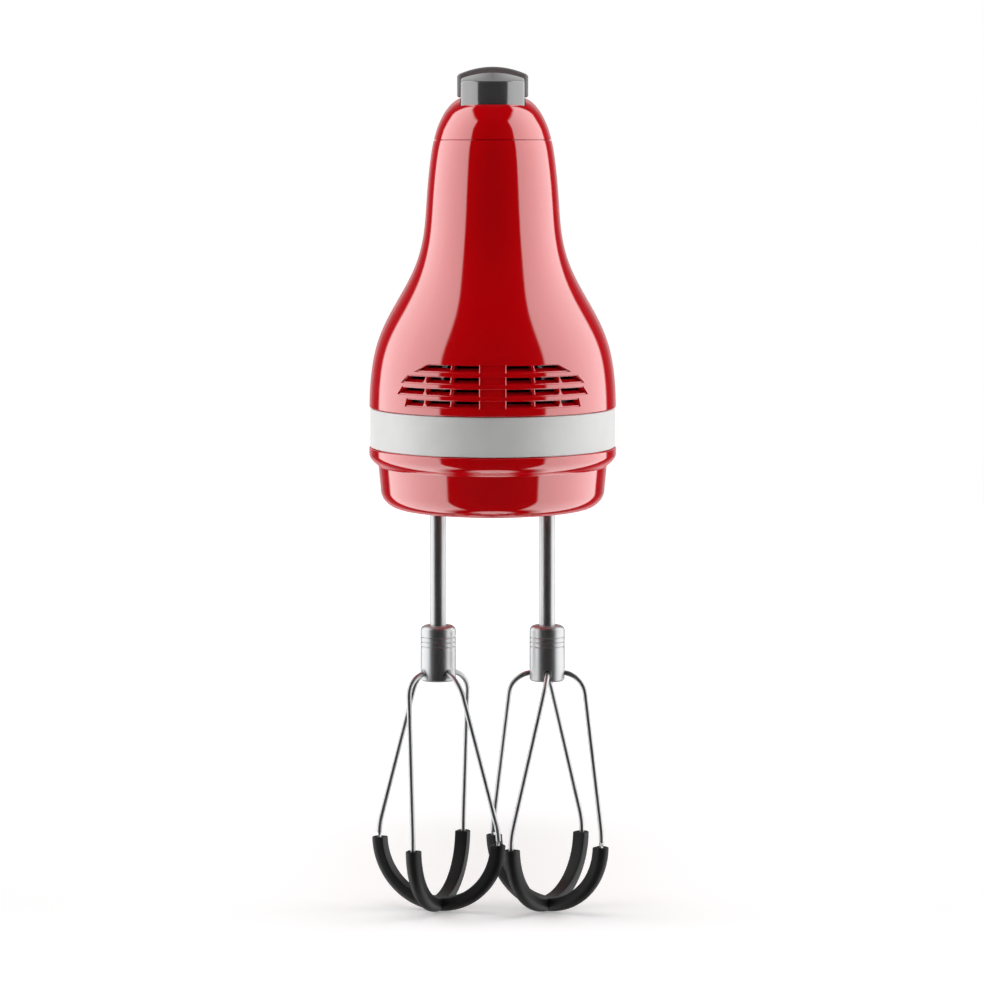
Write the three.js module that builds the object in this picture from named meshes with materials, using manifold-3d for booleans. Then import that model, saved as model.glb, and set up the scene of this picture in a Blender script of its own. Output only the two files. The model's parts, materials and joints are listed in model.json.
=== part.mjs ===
// Hand mixer: a glossy housing with a closed handle, a worm-driven pair of spindles and two
// sleeved wire beaters. Millimetres, +Z up, front towards -Y.
//
// While it is being drawn, z = 0 is the flat underside of the housing and y = 0 is the plane
// of the two beater axes. The last lines lift the mixer on to the tips of its beaters and
// centre it from front to back.
import * as THREE from 'three';
import { mergeVertices } from 'three/addons/utils/BufferGeometryUtils.js';
import Module from 'manifold-3d';

const wasm = await Module();
wasm.setup();

// ---------------------------------------------------------------- driving sizes

// Clearances
const GAP = 0.3; // between pieces that seat on or in each other
const RUN = 1; // between a moving piece and what it passes

// Housing
const WALL = 2.5;
const HALF_WIDTH = 45.5; // at the waist of the housing, beside the band
const NOSE = 38; // beater axes to the tip of the nose
const HEEL = 162; // beater axes to the flat heel
const WIDEST = 18; // beater axes to the widest section
const HEEL_CORNER = 9; // plan radius of the heel's corners
const HEEL_CORNER_MOST = 0.8; // and at most this share of the half-width
const NECK = 0.5; // share of the way back where the handle's width is reached
const FOOT_RADIUS = 7; // rounding under the rim
const RIM_INSET = 3.4; // rim below the lip, set in all round
const RIM_HEIGHT = 15.6;
const RIM_DRAFT = 0.8; // the rim draws in this much more towards the foot
const LIP_HEIGHT = 19.9; // where the lip reaches full width
const LIP_CURVE = 1.8; // how soon it swells out of the rim
const BAND_LOW = 22.5;
const BAND_HEIGHT = 14.3;
const BAND_THICK = 0.9;
const BAND_INSET = 0.4; // how far the band lies below the gloss surface
const SEAM = 135; // height of the seam between housing and handle cover
const TOP = 150.6; // flat top of the handle cover

// Height, and how far the front half-width is set in from HALF_WIDTH
const FLANK_LINE = [
  [0, 0], [30, 0], [42, 0.1], [57.5, 1.9], [68.5, 6], [79.6, 12.5], [90.6, 18],
  [102, 20.5], [116, 21.4], [131, 23.1], [138.5, 24.7], [147.4, 28.6], [150.6, 31.8],
];
// Height, and how far the nose line is set back from NOSE
const NOSE_LINE = [
  [0, 0], [30, 0], [48, 0.3], [57.5, 2.2], [68.5, 7.5], [79.6, 14], [90.6, 19],
  [102, 21.5], [131, 23.5], [138.5, 25.5], [145, 29.5], [150.6, 37],
];
// Height, and how far the back line is set in from HEEL
const HEEL_LINE = [[0, 0], [60, 0], [80, 2], [92, 6], [117, 12], [135, 19], [145, 26], [150.6, 34]];
// Height, and half-width behind the neck: body, then rear pillar and handle
const REAR_LINE = [
  [0, 40], [45, 40], [57.5, 38], [68.5, 33], [80, 25.5], [95, 19.5],
  [117, 17.5], [135, 17], [144, 14.5], [150.6, 10.5],
];

// Finger opening under the handle
const OPENING_FRONT = 40;
const OPENING_BACK = 127;
const OPENING_LOW = 67;
const OPENING_HIGH = 119;
const OPENING_CORNER = 20;
const OPENING_FLARE = 7; // how far its edges round off at the handle's sides
const OPENING_FLARE_MOST = 1.6; // the same at the body's sides, as a share
const OPENING_FLARE_ENDS = 0.6; // and along its two ends
const OPENING_CROWN = 1.4; // how far the floor falls to the sides, as a share of the flare

// Air vents in the nose
const VENT_ROWS = 4;
const VENT_PITCH = 4.2;
const VENT_SLOT = 2.3;
const VENT_LAND = 3.3; // red strip between the band and the lowest slot
const VENT_START = 4.9; // half the closed middle
const VENT_RIB = 1.2;
const VENT_RIB_PITCH = 9.6;
const VENT_REACH = [31.5, 34.1, 32.7, 27.6]; // half-span of each row, lowest first
const VENT_DEPTH = 5; // the cuts stop this far ahead of the beater axes

// Beaters
const BEATER_SPACING = 39.9;
const BEATER_PHASE = { left: 67.8, right: 56 }; // first leg, degrees from +X
const LEG_TWIST = 34; // how far the wire holes are turned from the feet of the legs
const SHAFT_RADIUS = 2.95;
const COLLAR_DROP = 41.9; // underside of the housing to the top of the collar
const COLLAR_RADIUS = 6.45;
const COLLAR_LENGTH = 20.4;
const COLLAR_ROUND = 2;
const WIRE_RADIUS = 0.95;
const WIRE_SEAT = 2.9; // wire holes above the collar's lower end
const WIRE_BEND = 9;
const WIRE_SHOULDER = 13; // where the legs would meet the line of the holes
const CAGE_RADIUS = 23.8;
const CAGE_HEIGHT = 88.6; // wire holes to the lowest point
const SLEEVE_TIP = 26.2; // lowest point to the sleeve's open ends
const SLEEVE_HALF_WIDTH = 2.6;
const SLEEVE_OUTER = 2.65; // wire centre to the sleeve's outside
const SLEEVE_INNER = 2.55; // wire centre to the sleeve's flat inside
const SHAFT_SEAT = 12; // depth of the collar's socket
const WIRE_END = 2.2; // wire ends, from the collar's axis
const LUG_REACH = 1.5; // drive lugs stand proud of the shaft
const LUG_THICK = 1.2;
const LUG_HEIGHT = 5;

// Worm drive and spindles
const MOTOR_AXIS = 32; // height
const WHEEL_TEETH = 26;
const WORM_STARTS = 2;
const WHEEL_PITCH_RADIUS = 16;
const WHEEL_THICK = 7;
const WORM_LENGTH = 18;
const TOOTH_OUT = 1.1; // tooth height beyond the pitch circle
const TOOTH_IN = 1.4; // and within it
const TOOTH_TIP = 0.9; // thickness at the tip
const TOOTH_ROOT = 2.1; // thickness at the root
const SPINDLE_RADIUS = 5.2;
const SPINDLE_FLANGE = 7.2;
const SPINDLE_LOW = 1.5;
const BUSH_RADIUS = 8;
const BUSH_HEIGHT = 7;
const FRAME_LOW = 5; // underside of the gear frame
const FRAME_PLATE = 3;
const FRAME_ROOM = 33; // between its lower and upper plates
const FRAME_HALF_WIDTH = 31;
const FRAME_FRONT = 24;
const FRAME_BACK = 26;
const FRAME_POST = 4.5; // thickness of its two bearing walls

// Motor
const MOTOR_SHAFT = 3;
const SHAFT_FRONT = 22; // ahead of the beater axes
const BEARING_RADIUS = 8;
const BEARING_WIDTH = 5;
const FAN_RADIUS = 22;
const FAN_START = 27.5;
const FAN_WIDTH = 5;
const FAN_BLADES = 9;
const STACK_START = 44;
const STACK_LENGTH = 28;
const ROTOR_RADIUS = 14;
const WINDING_RADIUS = 12;
const WINDING_LENGTH = 8;
const AIR_GAP = 0.6;
const STATOR_HALF_WIDTH = 26;
const STATOR_HALF_HEIGHT = 23.5;
const COIL_WINDOW = 21; // half-width of the stator's window
const COIL_WINDOW_HEIGHT = 10; // half its height
const COIL_THICK = 2.4;
const COIL_SQUARE = 0.35; // under 1 squares the saddle's corners
const COMMUTATOR_RADIUS = 8.5;
const COMMUTATOR_LENGTH = 12;
const BRACKET_THICK = 5;
const BRACKET_HALF_WIDTH = 24;
const BRUSH_SIDE = 6;
const BRUSH_LENGTH = 8;
const HOLDER_WALL = 1.3;
const HOLDER_LENGTH = 15;

// Ejector and controls
const EJECT_TRAVEL = 7;
const PIN_HEAD_RADIUS = 5;
const PIN_HEAD = 2.5;
const YOKE_ROD = 3; // radius
const YOKE_ROD_BACK = 5; // rod axis behind the beater axes
const YOKE_BAR = 4;
const GUIDE_SHELF = 95; // height of the shelf that guides the rod
const SHELF_THICK = 3;
const SPRING_FREE = 19;
const SPRING_COIL = 4.8;
const SPRING_WIRE = 0.6;
const SPRING_TURNS = 6;
const BUTTON_HALF_WIDTH = 11.6;
const BUTTON_FRONT = 5; // ahead of the beater axes
const BUTTON_BACK = 14;
const BUTTON_BOW = 7.2; // how far its front curves back at the sides
const BUTTON_PROUD = 5; // front corners above the flat top
const BUTTON_RISE = 1.8; // front corners to back corners
const BUTTON_DOME = 0.4; // crown of its front edge
const BUTTON_CROWN = 2.2; // crown of its back edge
const BUTTON_BODY = 6; // how far it reaches below the flat top
const SLIDER_HALF_WIDTH = 13.2;
const SLIDER_LENGTH = 14;
const SLIDER_TRAVEL = 18;
const SLIDER_REAR = 50; // back of the knob when off
const SLIDER_PROUD = 8.5; // its side walls above the flat top
const SLIDER_DOME = 3;
const SLIDER_STEM = 3; // half-width
const SWITCH_HEIGHT = 15;
const SWITCH_HALF_WIDTH = 9;
const SWITCH_LENGTH = 32;

// Grip, board, swivel and screws
const GRIP_LENGTH = 58;
const GRIP_HALF_WIDTH = 8.5;
const GRIP_THICK = 2.4;
const GRIP_PROUD = 1.1;
const BOARD_THICK = 1.6;
const BOARD_LENGTH = 56;
const BOARD_HALF_WIDTH = 11;
const SWIVEL_HEIGHT = 92;
const SWIVEL_RADIUS = 9;
const SWIVEL_BORE = 3.6;
const SWIVEL_PROUD = 4.5;
const SWIVEL_DEPTH = 9;
const SCREW_RADIUS = 1.9;
const SCREW_HEAD = 3.4;
const SCREW_HEAD_HEIGHT = 2.2;
const POST_RADIUS = 5;
const POST_SIDE = 33; // front housing screws, from the middle
const POST_REAR_IN = 5; // the rear pair stands closer
const POST_JOINT = 31; // where the lower and upper posts meet
const POST_FRONT = 44;
const POST_BACK = 132;
const FRAME_SCREW_SIDE = 26;
const FRAME_SCREW_BACK = 16;
const SCREW_SINK = 2; // heads below the underside
const SCREW_BITE = 10; // thread in the upper posts
const RIB = 3;

// ---------------------------------------------------------------- places that follow

const BAND_TOP = BAND_LOW + BAND_HEIGHT;
const JOINT = (BAND_LOW + BAND_TOP) / 2; // upper and lower housing meet behind the band
const BEATER_REACH = COLLAR_DROP + COLLAR_LENGTH - WIRE_SEAT + CAGE_HEIGHT;
const SPINDLE_BORE = SHAFT_RADIUS + GAP;
const WORM_PITCH_RADIUS = BEATER_SPACING / 2 - WHEEL_PITCH_RADIUS;
const WORM_LEAD = (WORM_STARTS * 2 * Math.PI * WHEEL_PITCH_RADIUS) / WHEEL_TEETH;
const FRAME_UPPER = FRAME_LOW + FRAME_PLATE + FRAME_ROOM;
const FRAME_TOP = FRAME_UPPER + FRAME_PLATE;
const SPINDLE_TOP = FRAME_TOP + RUN;
const SHAFT_TOP = FRAME_UPPER - RUN;
const PIN_HEAD_LOW = SPINDLE_TOP + EJECT_TRAVEL + GAP;
const YOKE_LOW = PIN_HEAD_LOW + PIN_HEAD + GAP;
const SPRING_LOW = GUIDE_SHELF + SHELF_THICK + GAP;
const YOKE_COLLAR = SPRING_LOW + SPRING_FREE + GAP;
const BUTTON_LOW = TOP - BUTTON_BODY;
const STACK_END = STACK_START + STACK_LENGTH;
const COMMUTATOR_START = STACK_END + WINDING_LENGTH + 2 * RUN;
const COMMUTATOR_END = COMMUTATOR_START + COMMUTATOR_LENGTH;
const BRACKET_START = COMMUTATOR_END + 2 * RUN;
const SHAFT_BACK = BRACKET_START + BRACKET_THICK;
const BRUSH_PLACE = (COMMUTATOR_START + COMMUTATOR_END) / 2;
const HOLDER_START = COMMUTATOR_RADIUS + RUN;
const HOLDER_HALF = BRUSH_SIDE / 2 + GAP + HOLDER_WALL;
const HOLDER_END = HOLDER_START + HOLDER_LENGTH;
const BRUSH_END = COMMUTATOR_RADIUS + GAP + BRUSH_LENGTH;
const SCREW_TIP = POST_JOINT + SCREW_BITE;
const CRADLES = [STACK_START + RIB, STACK_END - 2 * RIB];
const SLIDER_MIDDLE = SLIDER_REAR - SLIDER_LENGTH / 2;
const SWITCH_LOW = OPENING_HIGH + WALL + GAP;
const SWITCH_MIDDLE = SLIDER_MIDDLE - SLIDER_TRAVEL / 2;
const BOARD_LOW = OPENING_HIGH + WALL + RIB;
const BOARD_MIDDLE = (OPENING_FRONT + OPENING_BACK) / 2;
const BOARD_RIBS = [-1, 1].map((sign) => BOARD_MIDDLE + sign * (BOARD_LENGTH / 2 - 2 * RIB));

const SIDES = [['left', -1], ['right', 1]];

// ---------------------------------------------------------------- finishes

const finish = (color, roughness, metalness = 0) =>
  new THREE.MeshStandardMaterial({ color, roughness, metalness });

const FINISH = {
  gloss: finish(0xb1040e, 0.12),
  satin: finish(0xc8c8c8, 0.35, 0.9),
  grey: finish(0x6f7072, 0.3),
  chrome: finish(0xe4e6e8, 0.08, 1),
  sleeve: finish(0x2b2b2c, 0.6),
  soft: finish(0x3a3a3c, 0.8),
  steel: finish(0x9a9da0, 0.35, 1),
  iron: finish(0x55585c, 0.5, 0.9),
  copper: finish(0xb4622d, 0.35, 0.9),
  carbon: finish(0x222222, 0.7),
  nylon: finish(0xe9e4d4, 0.5),
  bronze: finish(0x9c7a3c, 0.4, 0.9),
  board: finish(0x27603a, 0.5),
  black: finish(0x1c1c1d, 0.5),
};

// ---------------------------------------------------------------- drawing helpers

// A smooth function of height through a few points, without overshoot
function through(points) {
  const slopes = points.slice(1).map(([x, y], i) => (y - points[i][1]) / (x - points[i][0]));
  const tangents = points.map((_, i) => {
    const before = slopes[i - 1] ?? slopes[i];
    const after = slopes[i] ?? before;
    return before * after <= 0 ? 0 : (2 * before * after) / (before + after);
  });
  return (at) => {
    let i = 0;
    while (i < points.length - 2 && at > points[i + 1][0]) i += 1;
    const [x0, y0] = points[i];
    const [x1, y1] = points[i + 1];
    const step = x1 - x0;
    const t = THREE.MathUtils.clamp((at - x0) / step, 0, 1);
    return (
      y0 * (1 + 2 * t) * (1 - t) ** 2 + y1 * t * t * (3 - 2 * t) +
      step * (tangents[i] * t * (1 - t) ** 2 - tangents[i + 1] * t * t * (1 - t))
    );
  };
}

// A closed skin through rings of equally many points, each ring anticlockwise seen from the last
function loft(rings) {
  const count = rings[0].length;
  const corner = (i) => {
    const turn = (2 * Math.PI * i) / count;
    return new THREE.Vector2(Math.cos(turn), Math.sin(turn));
  };
  const depth = rings.length - 1;
  const polygon = new THREE.Shape(rings[0].map((_, i) => corner(i)));
  const geometry = new THREE.ExtrudeGeometry(polygon, { depth, steps: depth, bevelEnabled: false });
  const position = geometry.getAttribute('position');
  for (let v = 0; v < position.count; v += 1) {
    const turn = Math.atan2(position.getY(v), position.getX(v));
    const i = (Math.round((turn / (2 * Math.PI)) * count) + count) % count;
    const { x, y, z } = rings[Math.round(position.getZ(v))][i];
    position.setXYZ(v, x, y, z);
  }
  return geometry;
}

function welded(geometry) {
  const bare = geometry.clone();
  bare.deleteAttribute('normal');
  bare.deleteAttribute('uv');
  return mergeVertices(bare, 1e-4);
}

function solid(geometry) {
  const merged = welded(geometry);
  const mesh = new wasm.Mesh({
    numProp: 3,
    vertProperties: new Float32Array(merged.getAttribute('position').array),
    triVerts: new Uint32Array(merged.getIndex().array),
  });
  return new wasm.Manifold(mesh);
}

function surface(shape) {
  const { vertProperties, triVerts } = shape.getMesh();
  const geometry = new THREE.BufferGeometry();
  geometry.setAttribute('position', new THREE.BufferAttribute(new Float32Array(vertProperties), 3));
  geometry.setIndex(new THREE.BufferAttribute(new Uint32Array(triVerts), 1));
  return geometry;
}

const polar = (radius, turn) => new THREE.Vector2(radius * Math.cos(turn), radius * Math.sin(turn));

const roundSection = (radius, facets) => new THREE.Shape(
  Array.from({ length: facets }, (_, i) => polar(radius, (2 * Math.PI * i) / facets)));

const joined = (...shapes) => shapes.reduce((whole, shape) => whole.add(shape));
const less = (shape, ...cuts) => cuts.reduce((whole, cut) => whole.subtract(cut), shape);

const block = (x0, x1, y0, y1, z0, z1) =>
  solid(new THREE.BoxGeometry(x1 - x0, y1 - y0, z1 - z0)
    .translate((x0 + x1) / 2, (y0 + y1) / 2, (z0 + z1) / 2));

// A turned piece about z, from [radius, height] pairs that start and end on the axis
const turned = (profile, facets = 20) =>
  new THREE.LatheGeometry(profile.map(([r, z]) => new THREE.Vector2(r, z)), facets).rotateX(Math.PI / 2);

const rod = (radius, z0, z1, facets = 20) =>
  solid(turned([[0, z0], [radius, z0], [radius, z1], [0, z1]], facets));

const pipe = (outer, inner, z0, z1, facets = 20) =>
  less(rod(outer, z0, z1, facets), rod(inner, z0 - 1, z1 + 1, facets));

// The same along the motor's axis, where lengths run from front to back
const alongY = (geometry) => geometry.rotateX(-Math.PI / 2);
const axleRod = (radius, y0, y1, facets = 20) =>
  solid(alongY(turned([[0, y0], [radius, y0], [radius, y1], [0, y1]], facets)));
const axlePipe = (outer, inner, y0, y1, facets = 20) =>
  less(axleRod(outer, y0, y1, facets), axleRod(inner, y0 - 1, y1 + 1, facets));

function piece(name, shape, material) {
  const geometry = shape.isBufferGeometry ? shape : surface(shape);
  const mesh = new THREE.Mesh(geometry, material);
  mesh.name = name;
  return mesh;
}

// ---------------------------------------------------------------- the housing's outer form

const flank = through(FLANK_LINE);
const noseLine = through(NOSE_LINE);
const heelLine = through(HEEL_LINE);
const rearLine = through(REAR_LINE);

// How far the foot, rim and lip are set in below the band
function skirt(z) {
  if (z >= LIP_HEIGHT) return 0;
  if (z > RIM_HEIGHT) return RIM_INSET * ((LIP_HEIGHT - z) / (LIP_HEIGHT - RIM_HEIGHT)) ** LIP_CURVE;
  if (z > FOOT_RADIUS) return RIM_INSET + RIM_DRAFT * ((RIM_HEIGHT - z) / (RIM_HEIGHT - FOOT_RADIUS));
  return RIM_INSET + RIM_DRAFT + FOOT_RADIUS - Math.sqrt(FOOT_RADIUS ** 2 - (FOOT_RADIUS - z) ** 2);
}

// How finely the form is drawn: the visible outside, and the hidden inside of its wall
const FINE = {
  nose: 16,
  corner: 3,
  side: [0, 0.18, 0.4, 0.6],
  foot: [0, 0.15, 0.45, 1],
  lip: [0, 0.4, 1],
  rise: [0.06, 0.16, 0.26, 0.36, 0.47, 0.6, 0.76, 0.86, 0.93, 0.97],
  opening: [0, 0.22, 0.32, 0.44, 0.65, 1],
  arc: 4,
};
const PLAIN = {
  nose: 10,
  corner: 1,
  side: [0, 0.3],
  foot: [0, 0.4, 1],
  lip: [0, 1],
  rise: [0.1, 0.2, 0.3, 0.4, 0.55, 0.8, 0.92],
  opening: [0, 0.25, 0.4, 0.65, 1],
  arc: 3,
};

// Plan of the housing at a height, drawn `inset` inside its surface
function planRing(z, inset, detail) {
  const set = skirt(z) + inset;
  const half = HALF_WIDTH - flank(z) - set;
  const rearHalf = Math.min(half, rearLine(z) - set);
  const front = -NOSE + noseLine(z) + set;
  const back = HEEL - heelLine(z) - set;
  const corner = Math.min(HEEL_CORNER, rearHalf * HEEL_CORNER_MOST);
  const sideHalf = (y) => {
    const share = THREE.MathUtils.smoothstep(y, WIDEST, WIDEST + (back - WIDEST) * NECK);
    return THREE.MathUtils.lerp(half, rearHalf, share);
  };
  const right = detail.side.map((share) => {
    const y = WIDEST + share * (back - corner - WIDEST);
    return [sideHalf(y), y];
  });
  for (let i = 0; i <= detail.corner; i += 1) {
    const turn = (i / detail.corner) * (Math.PI / 2);
    right.push([rearHalf - corner * (1 - Math.cos(turn)), back - corner * (1 - Math.sin(turn))]);
  }
  const left = right.map(([x, y]) => [-x, y]).reverse();
  const nose = [];
  for (let i = 1; i < detail.nose; i += 1) {
    const turn = Math.PI + (i / detail.nose) * Math.PI;
    nose.push([half * Math.cos(turn), WIDEST + (WIDEST - front) * Math.sin(turn)]);
  }
  return [...right, ...left, ...nose].map(([x, y]) => new THREE.Vector3(x, y, z));
}

// The opening for the fingers, its edges flaring outwards, grown by `growth` on every side
function openingForm(growth, { opening, arc }) {
  const reach = HALF_WIDTH + 2;
  const stations = [...opening.slice(1).map((share) => -share).reverse(), ...opening];
  const rings = stations.map((share) => {
    const x = share * reach;
    const edge = OPENING_FLARE * Math.min(OPENING_FLARE_MOST, (Math.abs(x) / rearLine(OPENING_HIGH)) ** 3);
    const crown = OPENING_FLARE * OPENING_CROWN * share * share;
    const y0 = OPENING_FRONT - growth - edge * OPENING_FLARE_ENDS;
    const y1 = OPENING_BACK + growth + edge * OPENING_FLARE_ENDS;
    const z0 = OPENING_LOW - growth - crown;
    const z1 = OPENING_HIGH + growth + edge;
    const radius = OPENING_CORNER + growth;
    const corners = [[y1, z1, 0], [y0, z1, 1], [y0, z0, 2], [y1, z0, 3]];
    return corners.flatMap(([y, z, quarter]) => {
      const cy = y + (y === y1 ? -radius : radius);
      const cz = z + (z === z1 ? -radius : radius);
      return Array.from({ length: arc + 1 }, (_, i) => {
        const turn = (quarter + i / arc) * (Math.PI / 2);
        return new THREE.Vector3(x, cy + radius * Math.cos(turn), cz + radius * Math.sin(turn));
      });
    });
  });
  return solid(loft(rings));
}

// The whole housing as one block, drawn `inset` inside its surface
function bodyForm(inset, detail) {
  const foot = detail.foot.map((share) => share * FOOT_RADIUS);
  const lip = detail.lip.map((share) => RIM_HEIGHT + share * (LIP_HEIGHT - RIM_HEIGHT));
  const above = detail.rise.map((share) => BAND_TOP + share * (TOP - BAND_TOP));
  const between = [...foot, ...lip, BAND_TOP, ...above];
  const low = inset;
  const high = TOP - inset;
  const heights = [low, ...between.filter((z) => z > low + GAP && z < high - GAP), high];
  return less(solid(loft(heights.map((z) => planRing(z, inset, detail)))), openingForm(inset, detail));
}

const SHELL = less(bodyForm(0, FINE), bodyForm(WALL, PLAIN));
const MID_WALL = bodyForm(WALL / 2, PLAIN);
const FAR = HEEL + NOSE;
const slab = (z0, z1) => block(-FAR, FAR, -FAR, FAR, z0, z1);

// Ribs, posts and shelves grow out of the shell and stop inside its wall
const inWall = (shape) => shape.intersect(MID_WALL);

// ---------------------------------------------------------------- housing pieces

const bandZone = less(slab(BAND_LOW - GAP, BAND_TOP + GAP), bodyForm(BAND_INSET + BAND_THICK + GAP, FINE));

const postPlaces = [POST_FRONT, POST_BACK].flatMap((y) => SIDES.map(([side, sign]) => ({
  name: `${y === POST_FRONT ? 'front' : 'rear'}_${side}`,
  x: sign * (y === POST_FRONT ? POST_SIDE : POST_SIDE - POST_REAR_IN),
  y,
})));

function lowerHousing() {
  const base = SHELL.intersect(slab(-1, JOINT - GAP / 2));
  const posts = postPlaces.map(({ x, y }) => inWall(rod(POST_RADIUS, 0, POST_JOINT - GAP, 12).translate([x, y, 0])));
  const bosses = SIDES.map(([, sign]) => inWall(
    rod(SCREW_HEAD, 0, FRAME_LOW - GAP, 12).translate([sign * FRAME_SCREW_SIDE, FRAME_SCREW_BACK, 0])));
  const cradles = CRADLES.map((y) => inWall(block(-STATOR_HALF_WIDTH, STATOR_HALF_WIDTH, y, y + RIB,
    0, MOTOR_AXIS - STATOR_HALF_HEIGHT - GAP)));
  const shelf = inWall(block(-BRACKET_HALF_WIDTH, BRACKET_HALF_WIDTH, BRACKET_START, SHAFT_BACK,
    0, MOTOR_AXIS - STATOR_HALF_HEIGHT - GAP));
  const spindleHoles = SIDES.map(([, sign]) =>
    rod(SPINDLE_RADIUS + RUN, -1, WALL + 1).translate([sign * BEATER_SPACING / 2, 0, 0]));
  const screwHoles = postPlaces.flatMap(({ x, y }) => [
    rod(SCREW_HEAD + GAP, -1, SCREW_SINK + SCREW_HEAD_HEIGHT + GAP, 14).translate([x, y, 0]),
    rod(SCREW_RADIUS + GAP, 0, POST_JOINT, 8).translate([x, y, 0]),
  ]);
  const frameScrewHoles = SIDES.map(([, sign]) => rod(SCREW_RADIUS + GAP, WALL, FRAME_LOW, 12)
    .translate([sign * FRAME_SCREW_SIDE, FRAME_SCREW_BACK, 0]));
  return less(joined(base, ...posts, ...bosses, ...cradles, shelf),
    bandZone, ...spindleHoles, ...screwHoles, ...frameScrewHoles);
}

function ventCuts() {
  const cuts = [];
  for (let row = 0; row < VENT_ROWS; row += 1) {
    const low = BAND_TOP + VENT_LAND + row * VENT_PITCH;
    for (let start = VENT_START; start < VENT_REACH[row] - RUN; start += VENT_RIB_PITCH + VENT_RIB) {
      const end = Math.min(start + VENT_RIB_PITCH, VENT_REACH[row]);
      cuts.push(block(start, end, -NOSE - 1, -VENT_DEPTH, low, low + VENT_SLOT));
      cuts.push(block(-end, -start, -NOSE - 1, -VENT_DEPTH, low, low + VENT_SLOT));
    }
  }
  return cuts;
}

function upperHousing() {
  const base = SHELL.intersect(slab(JOINT + GAP / 2, SEAM - GAP / 2));
  const posts = postPlaces.map(({ x, y }) => inWall(
    rod(POST_RADIUS, POST_JOINT, OPENING_LOW, 12).translate([x, y, 0])));
  const shelf = inWall(block(-HALF_WIDTH, HALF_WIDTH, -NOSE, OPENING_FRONT + OPENING_FLARE,
    GUIDE_SHELF, GUIDE_SHELF + SHELF_THICK));
  const boardRibs = BOARD_RIBS.map((y) => inWall(block(-BOARD_HALF_WIDTH, BOARD_HALF_WIDTH,
    y - RIB / 2, y + RIB / 2, OPENING_HIGH, BOARD_LOW - GAP)));
  const switchRibs = [-1, 1].map((sign) => {
    const y = SWITCH_MIDDLE + sign * (SWITCH_LENGTH / 2 - RIB);
    return inWall(block(-SWITCH_HALF_WIDTH, SWITCH_HALF_WIDTH, y - RIB / 2, y + RIB / 2,
      GUIDE_SHELF, SWITCH_LOW - GAP));
  });
  const screwHoles = postPlaces.map(({ x, y }) =>
    rod(SCREW_RADIUS + GAP, POST_JOINT - 1, SCREW_TIP + GAP, 8).translate([x, y, 0]));
  const rodHole = rod(YOKE_ROD + GAP, GUIDE_SHELF - 1, GUIDE_SHELF + SHELF_THICK + 1, 16)
    .translate([0, YOKE_ROD_BACK, 0]);
  return less(joined(base, ...posts, shelf, ...boardRibs, ...switchRibs), bandZone, ...screwHoles, rodHole,
    gripForm(GAP), swivelRod(SWIVEL_RADIUS + GAP, SWIVEL_DEPTH + RUN), ...ventCuts());
}

const trimBand = () => less(bodyForm(BAND_INSET, FINE), bodyForm(BAND_INSET + BAND_THICK, FINE))
  .intersect(slab(BAND_LOW, BAND_TOP));

function handleCover() {
  const base = SHELL.intersect(slab(SEAM + GAP / 2, TOP + 1));
  const buttonHole = block(-BUTTON_HALF_WIDTH - GAP, BUTTON_HALF_WIDTH + GAP,
    -NOSE, BUTTON_BACK + GAP, BUTTON_LOW - EJECT_TRAVEL - GAP, TOP + 1)
    .intersect(buttonPlan(GAP));
  const stemSlot = block(-SLIDER_STEM - GAP, SLIDER_STEM + GAP,
    SLIDER_MIDDLE - SLIDER_TRAVEL - SLIDER_STEM - GAP, SLIDER_MIDDLE + SLIDER_STEM + GAP, SEAM, TOP + 1);
  return less(base, buttonHole, stemSlot);
}

// The soft pad let into the underside of the handle
function gripForm(growth) {
  const half = GRIP_HALF_WIDTH + growth;
  const middle = (OPENING_FRONT + OPENING_BACK) / 2;
  const z0 = OPENING_HIGH - GRIP_PROUD - growth;
  const outline = new THREE.Shape();
  const reach = GRIP_LENGTH / 2 - GRIP_HALF_WIDTH;
  outline.absarc(0, middle + reach, half, 0, Math.PI);
  outline.absarc(0, middle - reach, half, Math.PI, 2 * Math.PI);
  const pad = new THREE.ExtrudeGeometry(outline, { depth: GRIP_THICK + 2 * growth, bevelEnabled: false, curveSegments: 8 });
  return solid(pad.translate(0, 0, z0));
}

// A short shaft along the swivel's axis, from the gland's face inwards
function swivelRod(radius, depth) {
  const face = HEEL - heelLine(SWIVEL_HEIGHT) + SWIVEL_PROUD;
  return axleRod(radius, face - SWIVEL_PROUD - depth, face, 24).translate([0, 0, SWIVEL_HEIGHT]);
}

function cordSwivel() {
  const drum = joined(swivelRod(SWIVEL_RADIUS, 0), swivelRod(SWIVEL_RADIUS - RUN, SWIVEL_DEPTH));
  return less(drum, swivelRod(SWIVEL_BORE, SWIVEL_DEPTH + RUN).translate([0, RUN, 0]));
}

// ---------------------------------------------------------------- controls

// Plan of the eject button, square at the back, its front bowed like the neck's
function buttonPlan(growth) {
  const half = BUTTON_HALF_WIDTH;
  const steps = 12;
  const lean = (x) => (2 * BUTTON_BOW * x) / half ** 2;
  const front = Array.from({ length: steps + 1 }, (_, i) => {
    const x = half * ((2 * i) / steps - 1);
    const out = growth / Math.hypot(1, lean(x));
    return new THREE.Vector2(x + out * lean(x), BUTTON_BOW * (x / half) ** 2 - BUTTON_FRONT - out);
  });
  const end = front[steps].y + (half + growth - front[steps].x) * lean(half);
  front[0].set(-half - growth, end);
  front[steps].set(half + growth, end);
  const back = [half + growth, -half - growth].map((x) => new THREE.Vector2(x, BUTTON_BACK + growth));
  return solid(new THREE.ExtrudeGeometry(new THREE.Shape([...front, ...back]), { depth: 2 * TOP, bevelEnabled: false }));
}

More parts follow.
